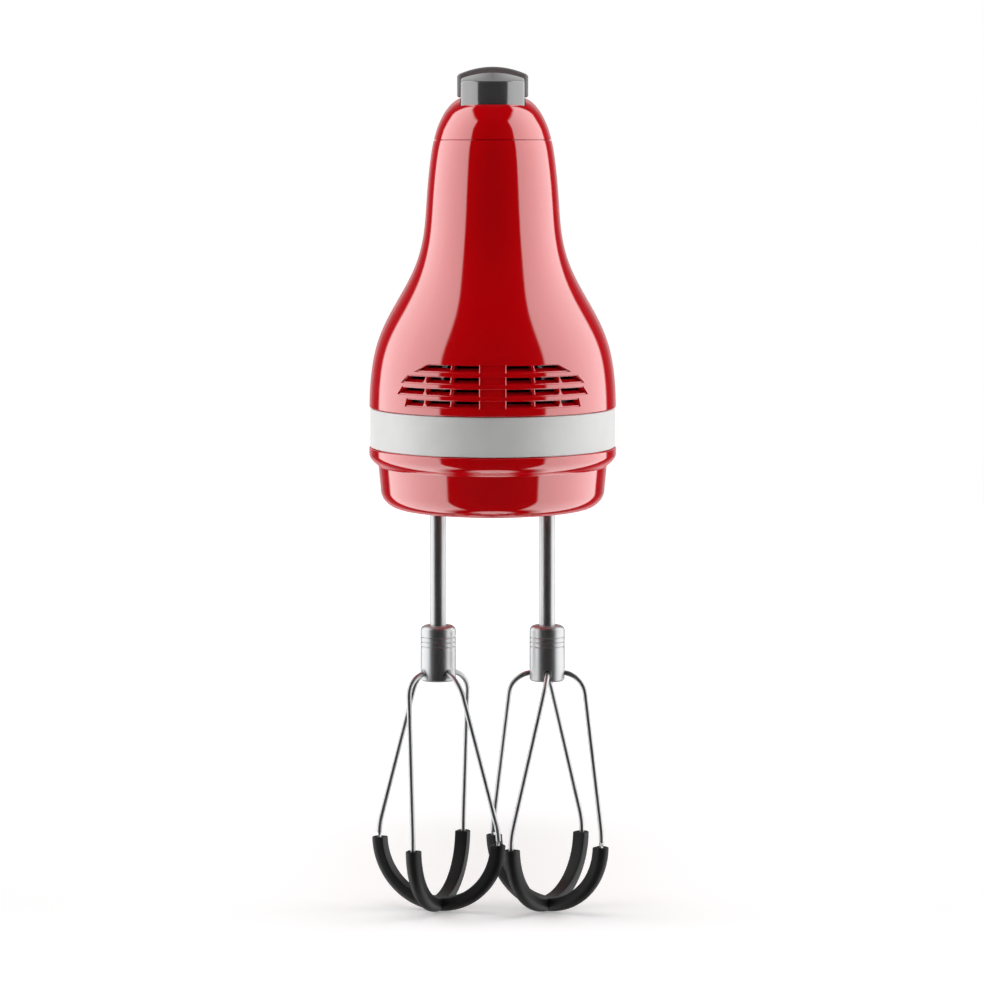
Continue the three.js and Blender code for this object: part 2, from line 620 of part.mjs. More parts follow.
// A block across the handle with a domed top; each end is [y, corner height, dome]
function domedBlock(half, low, ends) {
  const facets = 10;
  const rings = ends.map(([y, height, dome]) => {
    const top = Array.from({ length: facets + 1 }, (_, i) => {
      const x = half * (1 - (2 * i) / facets);
      return new THREE.Vector3(x, y, height + dome * (1 - (x / half) ** 2));
    });
    return [...top, new THREE.Vector3(-half, y, low), new THREE.Vector3(half, y, low)].reverse();
  });
  return solid(loft(rings));
}

function ejectButton() {
  const front = TOP + BUTTON_PROUD;
  return domedBlock(BUTTON_HALF_WIDTH, BUTTON_LOW, [
    [-BUTTON_FRONT, front, BUTTON_DOME],
    [BUTTON_BACK, front + BUTTON_RISE, BUTTON_CROWN],
  ]).intersect(buttonPlan(0));
}

function speedSlider() {
  const back = SLIDER_REAR;
  const low = TOP + GAP;
  const high = TOP + SLIDER_PROUD;
  const knob = domedBlock(SLIDER_HALF_WIDTH, low, [
    [back - SLIDER_LENGTH, high, SLIDER_DOME],
    [back, high - RUN, SLIDER_DOME],
  ]);
  const stem = block(-SLIDER_STEM, SLIDER_STEM, SLIDER_MIDDLE - SLIDER_STEM, SLIDER_MIDDLE + SLIDER_STEM,
    SWITCH_LOW + SWITCH_HEIGHT + GAP, low + RUN);
  return joined(knob, stem);
}

const speedSwitch = () => block(-SWITCH_HALF_WIDTH, SWITCH_HALF_WIDTH, SWITCH_MIDDLE - SWITCH_LENGTH / 2,
  SWITCH_MIDDLE + SWITCH_LENGTH / 2, SWITCH_LOW, SWITCH_LOW + SWITCH_HEIGHT);

const speedBoard = () => block(-BOARD_HALF_WIDTH, BOARD_HALF_WIDTH, BOARD_MIDDLE - BOARD_LENGTH / 2,
  BOARD_MIDDLE + BOARD_LENGTH / 2, BOARD_LOW, BOARD_LOW + BOARD_THICK);

function ejectorYoke() {
  const reach = BEATER_SPACING / 2 + PIN_HEAD_RADIUS;
  const bar = block(-reach, reach, -PIN_HEAD_RADIUS, YOKE_ROD_BACK + YOKE_ROD, YOKE_LOW, YOKE_LOW + YOKE_BAR);
  const stem = rod(YOKE_ROD, YOKE_LOW, BUTTON_LOW - GAP, 16);
  const collar = rod(SPRING_COIL + 2 * SPRING_WIRE, YOKE_COLLAR, YOKE_COLLAR + 2 * RUN, 16);
  return joined(bar, joined(stem, collar).translate([0, YOKE_ROD_BACK, 0]));
}

class Helix extends THREE.Curve {
  constructor(radius, start, length, turns) {
    super();
    Object.assign(this, { radius, start, length, turns });
  }

  getPoint(t) {
    const turn = 2 * Math.PI * this.turns * t;
    return new THREE.Vector3(
      this.radius * Math.cos(turn), this.radius * Math.sin(turn), this.start + this.length * t);
  }
}

function coilSpring(radius, wire, low, high, turns, facets) {
  const path = new Helix(radius, low + wire, high - low - 2 * wire, turns);
  return new THREE.ExtrudeGeometry(roundSection(wire, facets), { extrudePath: path, steps: turns * 8 });
}

// ---------------------------------------------------------------- worm drive

function twisted(outline, depth, steps, twist) {
  const geometry = new THREE.ExtrudeGeometry(new THREE.Shape(outline), { depth, steps, bevelEnabled: false });
  geometry.translate(0, 0, -depth / 2);
  const position = geometry.getAttribute('position');
  const point = new THREE.Vector3();
  for (let v = 0; v < position.count; v += 1) {
    point.fromBufferAttribute(position, v);
    point.applyAxisAngle(new THREE.Vector3(0, 0, 1), twist * point.z);
    position.setXYZ(v, point.x, point.y, point.z);
  }
  return geometry;
}

function wormThread() {
  const root = WORM_PITCH_RADIUS - TOOTH_IN;
  const tip = WORM_PITCH_RADIUS + TOOTH_OUT;
  const turnOf = (width) => (2 * Math.PI * width) / WORM_LEAD / 2;
  const outline = [];
  for (let start = 0; start < WORM_STARTS; start += 1) {
    const middle = (2 * Math.PI * start) / WORM_STARTS;
    outline.push(polar(root, middle - turnOf(TOOTH_ROOT)), polar(tip, middle - turnOf(TOOTH_TIP)));
    outline.push(polar(tip, middle), polar(tip, middle + turnOf(TOOTH_TIP)));
    outline.push(polar(root, middle + turnOf(TOOTH_ROOT)), polar(root, middle + Math.PI / WORM_STARTS));
  }
  const steps = Math.ceil((12 * WORM_LENGTH) / WORM_LEAD);
  const thread = twisted(outline, WORM_LENGTH, steps, (2 * Math.PI) / WORM_LEAD);
  return solid(thread.rotateX(-Math.PI / 2));
}

function wormWheel() {
  const root = WHEEL_PITCH_RADIUS - TOOTH_IN;
  const tip = WHEEL_PITCH_RADIUS + TOOTH_OUT;
  const outline = [];
  for (let tooth = 0; tooth < WHEEL_TEETH; tooth += 1) {
    const middle = ((tooth + 0.5) * 2 * Math.PI) / WHEEL_TEETH;
    outline.push(polar(root, middle - TOOTH_ROOT / 2 / root), polar(tip, middle - TOOTH_TIP / 2 / tip));
    outline.push(polar(tip, middle + TOOTH_TIP / 2 / tip), polar(root, middle + TOOTH_ROOT / 2 / root));
  }
  const lean = WORM_LEAD / (2 * Math.PI * WORM_PITCH_RADIUS) / WHEEL_PITCH_RADIUS;
  const wheel = solid(twisted(outline, WHEEL_THICK, 1, lean)).translate([0, 0, MOTOR_AXIS]);
  const half = WHEEL_THICK / 2 + 1;
  return less(wheel, rod(SPINDLE_RADIUS + GAP, MOTOR_AXIS - half, MOTOR_AXIS + half));
}

const lugs = (growth, low) => block(-SHAFT_RADIUS - LUG_REACH - growth, SHAFT_RADIUS + LUG_REACH + growth,
  -LUG_THICK / 2 - growth, LUG_THICK / 2 + growth, low, SPINDLE_LOW + LUG_HEIGHT + growth);

function spindle() {
  const flangeTop = MOTOR_AXIS - WHEEL_THICK / 2 - GAP;
  const tube = joined(rod(SPINDLE_RADIUS, SPINDLE_LOW, SPINDLE_TOP), rod(SPINDLE_FLANGE, flangeTop - 2 * RUN, flangeTop));
  return less(tube, rod(SPINDLE_BORE, 0, SPINDLE_TOP + 1, 16), lugs(GAP, 0));
}

const ejectorPin = () => joined(rod(SHAFT_RADIUS, SHAFT_TOP + GAP, PIN_HEAD_LOW + RUN, 16),
  rod(PIN_HEAD_RADIUS, PIN_HEAD_LOW, PIN_HEAD_LOW + PIN_HEAD, 16));

const spindleBush = () => pipe(BUSH_RADIUS, SPINDLE_RADIUS + GAP, FRAME_LOW, FRAME_LOW + BUSH_HEIGHT);

function gearFrame() {
  const plate = (low) => block(-FRAME_HALF_WIDTH, FRAME_HALF_WIDTH, -FRAME_FRONT, FRAME_BACK, low, low + FRAME_PLATE);
  const wall = (half, y) => block(-half, half, y, y + FRAME_POST, FRAME_LOW, FRAME_TOP);
  const whole = joined(plate(FRAME_LOW), plate(FRAME_UPPER),
    wall(BEARING_RADIUS, -FRAME_FRONT), wall(2 * BEARING_RADIUS, FRAME_BACK - FRAME_POST))
    .intersect(bodyForm(WALL + RUN, PLAIN));
  const spindles = SIDES.flatMap(([, sign]) => [
    rod(BUSH_RADIUS + GAP, 0, FRAME_LOW + FRAME_PLATE + 1).translate([sign * BEATER_SPACING / 2, 0, 0]),
    rod(SPINDLE_RADIUS + GAP, FRAME_UPPER - 1, FRAME_TOP + 1).translate([sign * BEATER_SPACING / 2, 0, 0]),
  ]);
  const screws = SIDES.map(([, sign]) => rod(SCREW_RADIUS + GAP, FRAME_LOW - 1, FRAME_LOW + FRAME_PLATE + 1, 12)
    .translate([sign * FRAME_SCREW_SIDE, FRAME_SCREW_BACK, 0]));
  const shaftEnd = axleRod(WORM_PITCH_RADIUS - TOOTH_IN + GAP, -SHAFT_FRONT - GAP, 0, 16).translate([0, 0, MOTOR_AXIS]);
  const bearing = axleRod(BEARING_RADIUS + GAP, 0, FRAME_BACK + 1).translate([0, 0, MOTOR_AXIS]);
  return less(whole, ...spindles, ...screws, shaftEnd, bearing);
}

// ---------------------------------------------------------------- motor

const onAxis = (shape) => shape.translate([0, 0, MOTOR_AXIS]);

const armatureShaft = () => onAxis(joined(wormThread(),
  axleRod(WORM_PITCH_RADIUS - TOOTH_IN - GAP, -SHAFT_FRONT, GAP - WORM_LENGTH / 2, 12),
  axleRod(MOTOR_SHAFT, WORM_LENGTH / 2 - GAP, SHAFT_BACK, 16)));

function coolingFan() {
  const hub = axleRod(2 * MOTOR_SHAFT, FAN_START, FAN_START + FAN_WIDTH, 16);
  const disc = axleRod(FAN_RADIUS, FAN_START + FAN_WIDTH - 1.5 * RUN, FAN_START + FAN_WIDTH, 24);
  const blades = Array.from({ length: FAN_BLADES }, (_, i) =>
    block(MOTOR_SHAFT + RUN, FAN_RADIUS - RUN, FAN_START, FAN_START + FAN_WIDTH - RUN, -RUN / 2, RUN / 2)
      .rotate([0, (360 * i) / FAN_BLADES, 0]));
  return onAxis(less(joined(hub, disc, ...blades), axleRod(MOTOR_SHAFT + GAP, 0, 2 * STACK_START, 16)));
}

const rotorCore = () => onAxis(axlePipe(ROTOR_RADIUS, MOTOR_SHAFT + GAP, STACK_START, STACK_END, 28));

function winding(start) {
  const end = start + WINDING_LENGTH;
  const round = WINDING_LENGTH / 4;
  const profile = [[MOTOR_SHAFT + GAP, start], [WINDING_RADIUS - round, start], [WINDING_RADIUS, start + round],
    [WINDING_RADIUS, end - round], [WINDING_RADIUS - round, end], [MOTOR_SHAFT + GAP, end],
    [MOTOR_SHAFT + GAP, start]];
  return onAxis(solid(alongY(turned(profile, 20))));
}

const commutator = () => onAxis(axlePipe(COMMUTATOR_RADIUS, MOTOR_SHAFT + GAP, COMMUTATOR_START, COMMUTATOR_END));

const bearing = (start) => onAxis(axlePipe(BEARING_RADIUS, MOTOR_SHAFT + GAP, start, start + BEARING_WIDTH));

function fieldCore() {
  const outer = block(-STATOR_HALF_WIDTH, STATOR_HALF_WIDTH, STACK_START, STACK_END,
    -STATOR_HALF_HEIGHT, STATOR_HALF_HEIGHT);
  const window = block(-COIL_WINDOW, COIL_WINDOW, STACK_START - 1, STACK_END + 1, -COIL_WINDOW_HEIGHT, COIL_WINDOW_HEIGHT);
  return onAxis(less(outer, window, axleRod(ROTOR_RADIUS + AIR_GAP, STACK_START - 1, STACK_END + 1, 28)));
}

// A saddle of wire: along the stator's windows, then arching over the rotor at both ends
function fieldCoil() {
  const ring = welded(new THREE.TorusGeometry(COIL_WINDOW, COIL_THICK, 6, 36));
  const halfWidth = COIL_WINDOW - COIL_THICK - GAP;
  const halfLength = STACK_LENGTH / 2 + COIL_THICK + RUN;
  const middle = STACK_START + STACK_LENGTH / 2;
  const position = ring.getAttribute('position');
  const square = (value) => Math.sign(value) * Math.abs(value) ** COIL_SQUARE;
  for (let v = 0; v < position.count; v += 1) {
    const [x, y, z] = [position.getX(v), position.getY(v), position.getZ(v)];
    const turn = Math.atan2(y, x);
    const spread = Math.hypot(x, y) - COIL_WINDOW;
    const px = halfWidth * square(Math.cos(turn)) + spread * Math.cos(turn);
    const py = halfLength * square(Math.sin(turn)) + spread * Math.sin(turn);
    const lift = COIL_WINDOW_HEIGHT / 2 + (WINDING_RADIUS + COIL_THICK - COIL_WINDOW_HEIGHT / 2 + 2 * RUN)
      * THREE.MathUtils.smoothstep(halfWidth - Math.abs(px), 0, halfWidth / 2);
    position.setXYZ(v, px, middle + py, lift + z);
  }
  return solid(ring);
}

function rearBracket() {
  const half = BRACKET_HALF_WIDTH;
  const plate = block(-half, half, BRACKET_START, SHAFT_BACK, -STATOR_HALF_HEIGHT, STATOR_HALF_HEIGHT);
  const arms = SIDES.map(([, sign]) => {
    const inner = HOLDER_START + RUN;
    const outer = HOLDER_END;
    return block(Math.min(sign * inner, sign * outer), Math.max(sign * inner, sign * outer),
      BRUSH_PLACE - HOLDER_HALF, BRACKET_START + 1, -HOLDER_HALF - GAP - RIB, -HOLDER_HALF - GAP);
  });
  return onAxis(less(joined(plate, ...arms), axleRod(BEARING_RADIUS + GAP, BRACKET_START - 1, SHAFT_BACK + 1)));
}

// Brush parts are drawn on the right and mirrored for the left
const brushSquare = (half, x0, x1) => block(x0, x1, BRUSH_PLACE - half, BRUSH_PLACE + half,
  MOTOR_AXIS - half, MOTOR_AXIS + half);

const brushHolder = () => less(brushSquare(HOLDER_HALF, HOLDER_START, HOLDER_END),
  brushSquare(BRUSH_SIDE / 2 + GAP, HOLDER_START - 1, HOLDER_END - HOLDER_WALL));

const brush = () => brushSquare(BRUSH_SIDE / 2, COMMUTATOR_RADIUS + GAP, BRUSH_END);

const brushSpring = () => solid(coilSpring(BRUSH_SIDE / 3, SPRING_WIRE / 2, BRUSH_END + GAP,
  HOLDER_END - HOLDER_WALL - GAP, 3, 4).rotateY(Math.PI / 2).translate(0, BRUSH_PLACE, MOTOR_AXIS));

function screw(headLow, tip) {
  const sign = Math.sign(tip - headLow);
  const seat = headLow + sign * SCREW_HEAD_HEIGHT;
  const shank = rod(SCREW_RADIUS, Math.min(seat, tip) - (sign > 0 ? RUN : 0), Math.max(seat, tip) + (sign > 0 ? 0 : RUN), 10);
  return joined(rod(SCREW_HEAD, Math.min(headLow, seat), Math.max(headLow, seat), 14), shank);
}

// ---------------------------------------------------------------- beaters

// A path of straight runs and arcs through points, sampled only where it bends
class BentPath extends THREE.Curve {
  constructor(corners) {
    super();
    this.stations = [];
    const visit = (point, tangent) => {
      const last = this.stations.at(-1);
      if (!last || last.point.distanceTo(point) > 0.01) this.stations.push({ point, tangent });
    };
    corners.forEach(([here, radius, steps], i) => {
      if (!radius) {
        const run = corners[i === 0 ? 1 : i - 1][0].clone().sub(here).normalize();
        visit(here, i === 0 ? run : run.negate());
        return;
      }
      const into = here.clone().sub(corners[i - 1][0]).normalize();
      const out = corners[i + 1][0].clone().sub(here).normalize();
      const bend = into.angleTo(out);
      const start = here.clone().addScaledVector(into, -radius * Math.tan(bend / 2));
      const side = out.clone().addScaledVector(into, -out.dot(into)).normalize();
      for (let k = 0; k <= steps; k += 1) {
        const turn = (bend * k) / steps;
        const point = start.clone().addScaledVector(into, radius * Math.sin(turn))
          .addScaledVector(side, radius * (1 - Math.cos(turn)));
        visit(point, into.clone().multiplyScalar(Math.cos(turn)).addScaledVector(side, Math.sin(turn)));
      }
    });
  }

  getPoint(t) {
    return this.stations[Math.round(t * (this.stations.length - 1))].point.clone();
  }

  getPointAt(u) {
    return this.getPoint(u);
  }

  computeFrenetFrames() {
    const tangents = this.stations.map(({ tangent }) => tangent);
    const across = new THREE.Vector3(0, 1, 0);
    const binormals = tangents.map((tangent) =>
      across.addScaledVector(tangent, -across.dot(tangent)).normalize().clone());
    const normals = tangents.map((tangent, i) => binormals[i].clone().cross(tangent));
    return { tangents, normals, binormals };
  }

  sweep(section) {
    return solid(new THREE.ExtrudeGeometry(section, { extrudePath: this, steps: this.stations.length - 1 }));
  }
}

// Flat towards the inside of the loop, round outside
function sleeveSection() {
  const inside = SLEEVE_INNER;
  const soft = SLEEVE_INNER / 4;
  const half = SLEEVE_HALF_WIDTH;
  const round = Array.from({ length: 5 }, (_, i) => {
    const turn = Math.PI / 2 + (Math.PI * i) / 4;
    return new THREE.Vector2(SLEEVE_OUTER * Math.cos(turn), half * Math.sin(turn));
  });
  return new THREE.Shape([...round, new THREE.Vector2(inside - soft, -half),
    new THREE.Vector2(inside, -half + soft), new THREE.Vector2(inside, half - soft),
    new THREE.Vector2(inside - soft, half)]);
}

const FLOOR = -BEATER_REACH;
const HOLE_HEIGHT = -COLLAR_DROP - COLLAR_LENGTH + WIRE_SEAT;
const TIP_HEIGHT = FLOOR + SLEEVE_TIP;

// The loop stands in the plane y = 0; its upper ends are turned about the axis by the twist
function wirePath(lowest, twist) {
  const turn = THREE.MathUtils.degToRad(twist);
  const above = (reach, height) => new THREE.Vector3(reach * Math.cos(turn), reach * Math.sin(turn), height);
  const half = [
    [above(WIRE_END, HOLE_HEIGHT), 0, 0],
    [above(WIRE_SHOULDER, HOLE_HEIGHT), WIRE_BEND, 5],
    [new THREE.Vector3(CAGE_RADIUS, 0, TIP_HEIGHT + WIRE_BEND / 2), 3 * WIRE_BEND, 2],
    [new THREE.Vector3(CAGE_RADIUS, 0, lowest), CAGE_RADIUS, 6],
  ];
  const other = half.map(([{ x, y, z }, radius, steps]) => [new THREE.Vector3(-x, -y, z), radius, steps]);
  return new BentPath([...half, ...other.reverse()]);
}

const crossing = (WIRE_RADIUS * 2 + GAP) / 2;
const wireLoop = (lift, radius, twist) =>
  wirePath(FLOOR + SLEEVE_OUTER + lift, twist).sweep(roundSection(radius, 6));

function sleeve(twist) {
  const lowest = FLOOR + SLEEVE_OUTER;
  const lean = Math.asin((lowest + CAGE_RADIUS - TIP_HEIGHT) / CAGE_RADIUS);
  const tip = CAGE_RADIUS * Math.cos(lean);
  const foot = (CAGE_RADIUS * (1 - Math.sin(lean))) / Math.cos(lean);
  const corner = (x, z, ...bend) => [new THREE.Vector3(x, 0, z), ...bend];
  const arm = new BentPath([corner(tip, TIP_HEIGHT, 0, 0), corner(foot, lowest, CAGE_RADIUS, 6),
    corner(-foot, lowest, CAGE_RADIUS, 6), corner(-tip, TIP_HEIGHT, 0, 0)]).sweep(sleeveSection());
  const bores = [wireLoop(-crossing, WIRE_RADIUS + GAP, twist),
    wireLoop(crossing, WIRE_RADIUS + GAP, twist).rotate([0, 0, 90])];
  return less(joined(arm, arm.rotate([0, 0, 90])), ...bores);
}

function collar(twist) {
  const high = -COLLAR_DROP;
  const low = high - COLLAR_LENGTH;
  const shoulder = [0, 1, 2, 3].map((i) => {
    const turn = (i / 3) * (Math.PI / 2);
    return [COLLAR_RADIUS - COLLAR_ROUND * (1 - Math.cos(turn)), high - COLLAR_ROUND * (1 - Math.sin(turn))];
  });
  const body = solid(turned([[0, low], [COLLAR_RADIUS - RUN / 2, low], [COLLAR_RADIUS, low + RUN / 2], ...shoulder, [0, high]]));
  const holes = [0, 90, 180, 270].map((turn) =>
    solid(turned([[0, WIRE_END - GAP], [WIRE_RADIUS + GAP, WIRE_END - GAP],
      [WIRE_RADIUS + GAP, COLLAR_RADIUS + 1], [0, COLLAR_RADIUS + 1]], 8).rotateY(Math.PI / 2))
      .rotate([0, 0, turn + twist]).translate([0, 0, HOLE_HEIGHT]));
  return less(body, rod(SHAFT_RADIUS + GAP, high - SHAFT_SEAT, high + 1, 16), ...holes);
}

function beaterShaft(phase) {
  const round = rod(SHAFT_RADIUS, GAP - COLLAR_DROP - SHAFT_SEAT, SHAFT_TOP, 16);
  return joined(round, lugs(0, SPINDLE_LOW).rotate([0, 0, -phase]));
}

// ---------------------------------------------------------------- assembly

const mixer = new THREE.Group();
const add = (name, shape, material, parent = mixer) => parent.add(piece(name, shape, material));

add('upper_housing', upperHousing(), FINISH.gloss);
add('lower_housing', lowerHousing(), FINISH.gloss);
add('trim_band', trimBand(), FINISH.satin);
add('handle_cover', handleCover(), FINISH.gloss);
add('grip_pad', gripForm(0), FINISH.soft);
add('cord_swivel', cordSwivel(), FINISH.black);
postPlaces.forEach(({ name, x, y }) =>
  add(`housing_screw_${name}`, screw(SCREW_SINK, SCREW_TIP).translate([x, y, 0]), FINISH.steel));

add('eject_button', ejectButton(), FINISH.grey);
add('ejector_yoke', ejectorYoke(), FINISH.nylon);
add('ejector_spring', solid(coilSpring(SPRING_COIL, SPRING_WIRE, SPRING_LOW, SPRING_LOW + SPRING_FREE, SPRING_TURNS, 5))
  .translate([0, YOKE_ROD_BACK, 0]), FINISH.steel);
add('speed_slider', speedSlider(), FINISH.grey);
add('speed_switch', speedSwitch(), FINISH.black);
add('speed_board', speedBoard(), FINISH.board);

add('gear_frame', gearFrame(), FINISH.nylon);
add('armature_shaft', armatureShaft(), FINISH.steel);
add('front_bearing', bearing(FRAME_BACK - BEARING_WIDTH), FINISH.bronze);
add('cooling_fan', coolingFan(), FINISH.black);
add('rotor_core', rotorCore(), FINISH.iron);
add('rotor_winding_front', winding(STACK_START - GAP - WINDING_LENGTH), FINISH.copper);
add('rotor_winding_rear', winding(STACK_END + GAP), FINISH.copper);
add('commutator', commutator(), FINISH.copper);
add('field_core', fieldCore(), FINISH.iron);
add('field_coil_upper', onAxis(fieldCoil()), FINISH.copper);
add('field_coil_lower', onAxis(fieldCoil().mirror([0, 0, 1])), FINISH.copper);
add('rear_bracket', rearBracket(), FINISH.black);
add('rear_bearing', bearing(BRACKET_START), FINISH.bronze);

SIDES.forEach(([side, sign]) => {
  const facing = (shape) => (sign > 0 ? shape : shape.mirror([1, 0, 0]));
  add(`${side}_brush_holder`, facing(brushHolder()), FINISH.bronze);
  add(`${side}_brush`, facing(brush()), FINISH.carbon);
  add(`${side}_brush_spring`, facing(brushSpring()), FINISH.steel);

  const axis = new THREE.Group();
  axis.position.x = (sign * BEATER_SPACING) / 2;
  mixer.add(axis);
  add(`${side}_spindle_bush`, spindleBush(), FINISH.bronze, axis);
  add(`${side}_spindle`, spindle(), FINISH.steel, axis);
  add(`${side}_worm_wheel`, wormWheel(), FINISH.nylon, axis);
  add(`${side}_ejector_pin`, ejectorPin(), FINISH.steel, axis);

  const beater = new THREE.Group();
  beater.rotation.z = THREE.MathUtils.degToRad(BEATER_PHASE[side]);
  axis.add(beater);
  add(`${side}_beater_shaft`, beaterShaft(BEATER_PHASE[side]), FINISH.chrome, beater);
  const twist = sign * LEG_TWIST;
  add(`${side}_beater_collar`, collar(twist), FINISH.chrome, beater);
  add(`${side}_beater_wire_low`, wireLoop(-crossing, WIRE_RADIUS, twist), FINISH.chrome, beater);
  add(`${side}_beater_wire_high`, wireLoop(crossing, WIRE_RADIUS, twist).rotate([0, 0, 90]), FINISH.chrome, beater);
  add(`${side}_beater_sleeve`, sleeve(twist), FINISH.sleeve, beater);

  const frameScrew = screw(FRAME_LOW + FRAME_PLATE + GAP + SCREW_HEAD_HEIGHT, WALL + GAP);
  add(`gear_frame_screw_${side}`, frameScrew.translate([sign * FRAME_SCREW_SIDE, FRAME_SCREW_BACK, 0]), FINISH.steel);
});

mixer.position.set(0, (NOSE - HEEL) / 2, BEATER_REACH);

const group = new THREE.Group();
group.add(mixer);

export default group;
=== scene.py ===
# %% [markdown]
# # A hand mixer, finished in Blender
# The solids arrive as a frame of the right size that never moves. Each visible part is drawn
# again more finely in the place of its solid, and every part gets a finish. Parts are drawn in
# millimetres, with z = 0 at the housing's flat underside and y = 0 in the beaters' plane.

# %% Load the frame and keep its box
import json
from math import asin, copysign, cos, hypot, pi, radians, sin, sqrt, tan

import bmesh
import bpy
import numpy as np
from mathutils import Matrix, Vector


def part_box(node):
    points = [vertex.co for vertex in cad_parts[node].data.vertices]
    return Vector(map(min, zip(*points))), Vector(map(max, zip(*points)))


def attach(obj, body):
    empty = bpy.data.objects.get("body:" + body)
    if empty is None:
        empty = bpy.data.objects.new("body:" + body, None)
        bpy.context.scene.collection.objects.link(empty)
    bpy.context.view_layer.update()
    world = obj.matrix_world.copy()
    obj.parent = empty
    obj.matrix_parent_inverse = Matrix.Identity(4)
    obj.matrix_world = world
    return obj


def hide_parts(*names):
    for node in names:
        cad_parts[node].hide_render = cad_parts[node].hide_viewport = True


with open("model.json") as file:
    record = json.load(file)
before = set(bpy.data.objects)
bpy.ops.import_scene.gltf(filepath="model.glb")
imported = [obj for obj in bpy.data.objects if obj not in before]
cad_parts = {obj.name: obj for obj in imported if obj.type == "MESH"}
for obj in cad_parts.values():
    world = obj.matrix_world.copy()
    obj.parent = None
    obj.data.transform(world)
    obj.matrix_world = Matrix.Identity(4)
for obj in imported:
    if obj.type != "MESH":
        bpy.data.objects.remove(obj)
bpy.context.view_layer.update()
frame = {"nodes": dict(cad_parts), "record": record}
MM = 0.001
shaft_low, shaft_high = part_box("left_beater_shaft")
other_low, other_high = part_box("right_beater_shaft")
AXES_Y = (shaft_low.y + shaft_high.y) / 2
AXIS_X = (other_low.x + other_high.x) / 2 / MM
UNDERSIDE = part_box("lower_housing")[0].z
PLACE = Matrix.Translation((0, AXES_Y, UNDERSIDE)) @ Matrix.Scale(MM, 4)


# %% [markdown]
# ## The camera
# The mixer is seen square from the front. A long lens from about a metre and a half keeps the
# two beaters nearly parallel, as a product shot does.

# %% Camera
EYE_DISTANCE = 1.412
EYE_HEIGHT = 0.281
EYE_SIDE = -0.00025
SENSOR = 36.0
LENS = 142.06
LOOKS_DOWN = 5.1

scene = bpy.context.scene
camera = bpy.data.objects.new("Camera", bpy.data.cameras.new("Camera"))
camera.data.sensor_width = SENSOR
camera.data.lens = LENS
camera.location = (EYE_SIDE, AXES_Y - EYE_DISTANCE, EYE_HEIGHT)
camera.rotation_euler = (radians(90 - LOOKS_DOWN), 0, 0)
scene.collection.objects.link(camera)
scene.camera = camera
scene.view_settings.view_transform = "Standard"


# %% [markdown]
# ## Light
# A glossy body shows the studio, so the studio is a map of directions round the mixer: a tall
# soft box on each side, a dimmer one behind, the pale table below, and dark ahead and overhead.
# Mirror-like finishes see this map, and matt ones a broader one with a little light from
# everywhere. One soft lamp overhead draws the shadows under the beaters.

# %% Lamp and studio
def plug(made, *values, **named):
    """Sets a node's inputs, or links them from sockets, in order or by name."""
    by_name = [(made.inputs[name.replace("_", " ")], value) for name, value in named.items()]
    for socket, value in [*zip(made.inputs, values), *by_name]:
        if isinstance(value, bpy.types.NodeSocket):
            made.id_data.links.new(value, socket)
        else:
            socket.default_value = value
    return made


def node(tree, kind, *values, mode=None, **named):
    """A new node of a kind, which is written in full or without the start that all share."""
    made = tree.nodes.new(kind if "Node" in kind else tree.bl_idname.removesuffix("Tree") + kind)
    for key, value in (mode or {}).items():
        setattr(made, key, value)
    return plug(made, *values, **named)


def output(*wanted, **named):
    return node(*wanted, **named).outputs[0]


def maths(tree, operation, *values):
    return output(tree, "Math", *values, mode=dict(operation=operation))


def ramp(tree, fac, stops):
    made = node(tree, "ValToRGB", fac)
    while len(made.color_ramp.elements) < len(stops):
        made.color_ramp.elements.new(0.5)
    for element, (at, colour) in zip(made.color_ramp.elements, stops):
        element.position = at
        element.color = (*(colour if isinstance(colour, tuple) else [colour] * 3), 1)
    return made.outputs[0]


def by_angle(tree, fac, stops, low=-90):
    """A ramp over half a turn, its stops written in degrees that start at `low`."""
    return ramp(tree, fac, [((angle - low) / 180, value) for angle, value in stops])


def cleared(owner):
    """The emptied node tree of a world or a material."""
    owner.use_nodes = True
    owner.node_tree.nodes.clear()
    return owner.node_tree


AMBIENT = 0.09
# Degrees from straight ahead and degrees above the horizon, each with a share of the light
GLOSSY = dict(
    light=2.6, rising=[(-66, 0.0), (-56, 1.0), (52, 1.0), (56, 0.0)],
    around=[(56, 0.001), (59, 0.60), (88, 0.66), (110, 0.70), (139, 0.68), (142, 0.004),
            (150, 0.01), (158, 0.06), (166, 0.24), (175, 0.24), (180, 0.09)],
    table=[(-80, 0.55), (-74, 0.0)])
# Ahead of FRONT_EDGES half turns the boxes' edges lean back by this many half turns
BOX_LEAN, FRONT_EDGES = [(-10, 0.0), (8, 0.025), (50, 0.05)], 0.6
MATT = dict(
    light=3.5, rising=[(-66, 0.0), (-56, 1.0), (40, 1.0), (56, 0.0)],
    around=[(60, 0.035), (80, 0.60), (100, 1.0), (125, 0.55), (150, 0.15), (180, 0.08)],
    table=[(-76, 0.22), (-70, 0.0)])

LAMP_SIZE, LAMP_POWER, LAMP_PLACE = (1.0, 0.8), 8.0, (0, -0.35, 1.8)
overhead = bpy.data.objects.new("overhead", bpy.data.lights.new("overhead", "AREA"))
overhead.data.shape = "RECTANGLE"
(overhead.data.size, overhead.data.size_y), overhead.data.energy = LAMP_SIZE, LAMP_POWER
overhead.location = LAMP_PLACE
overhead.visible_glossy = False
scene.collection.objects.link(overhead)

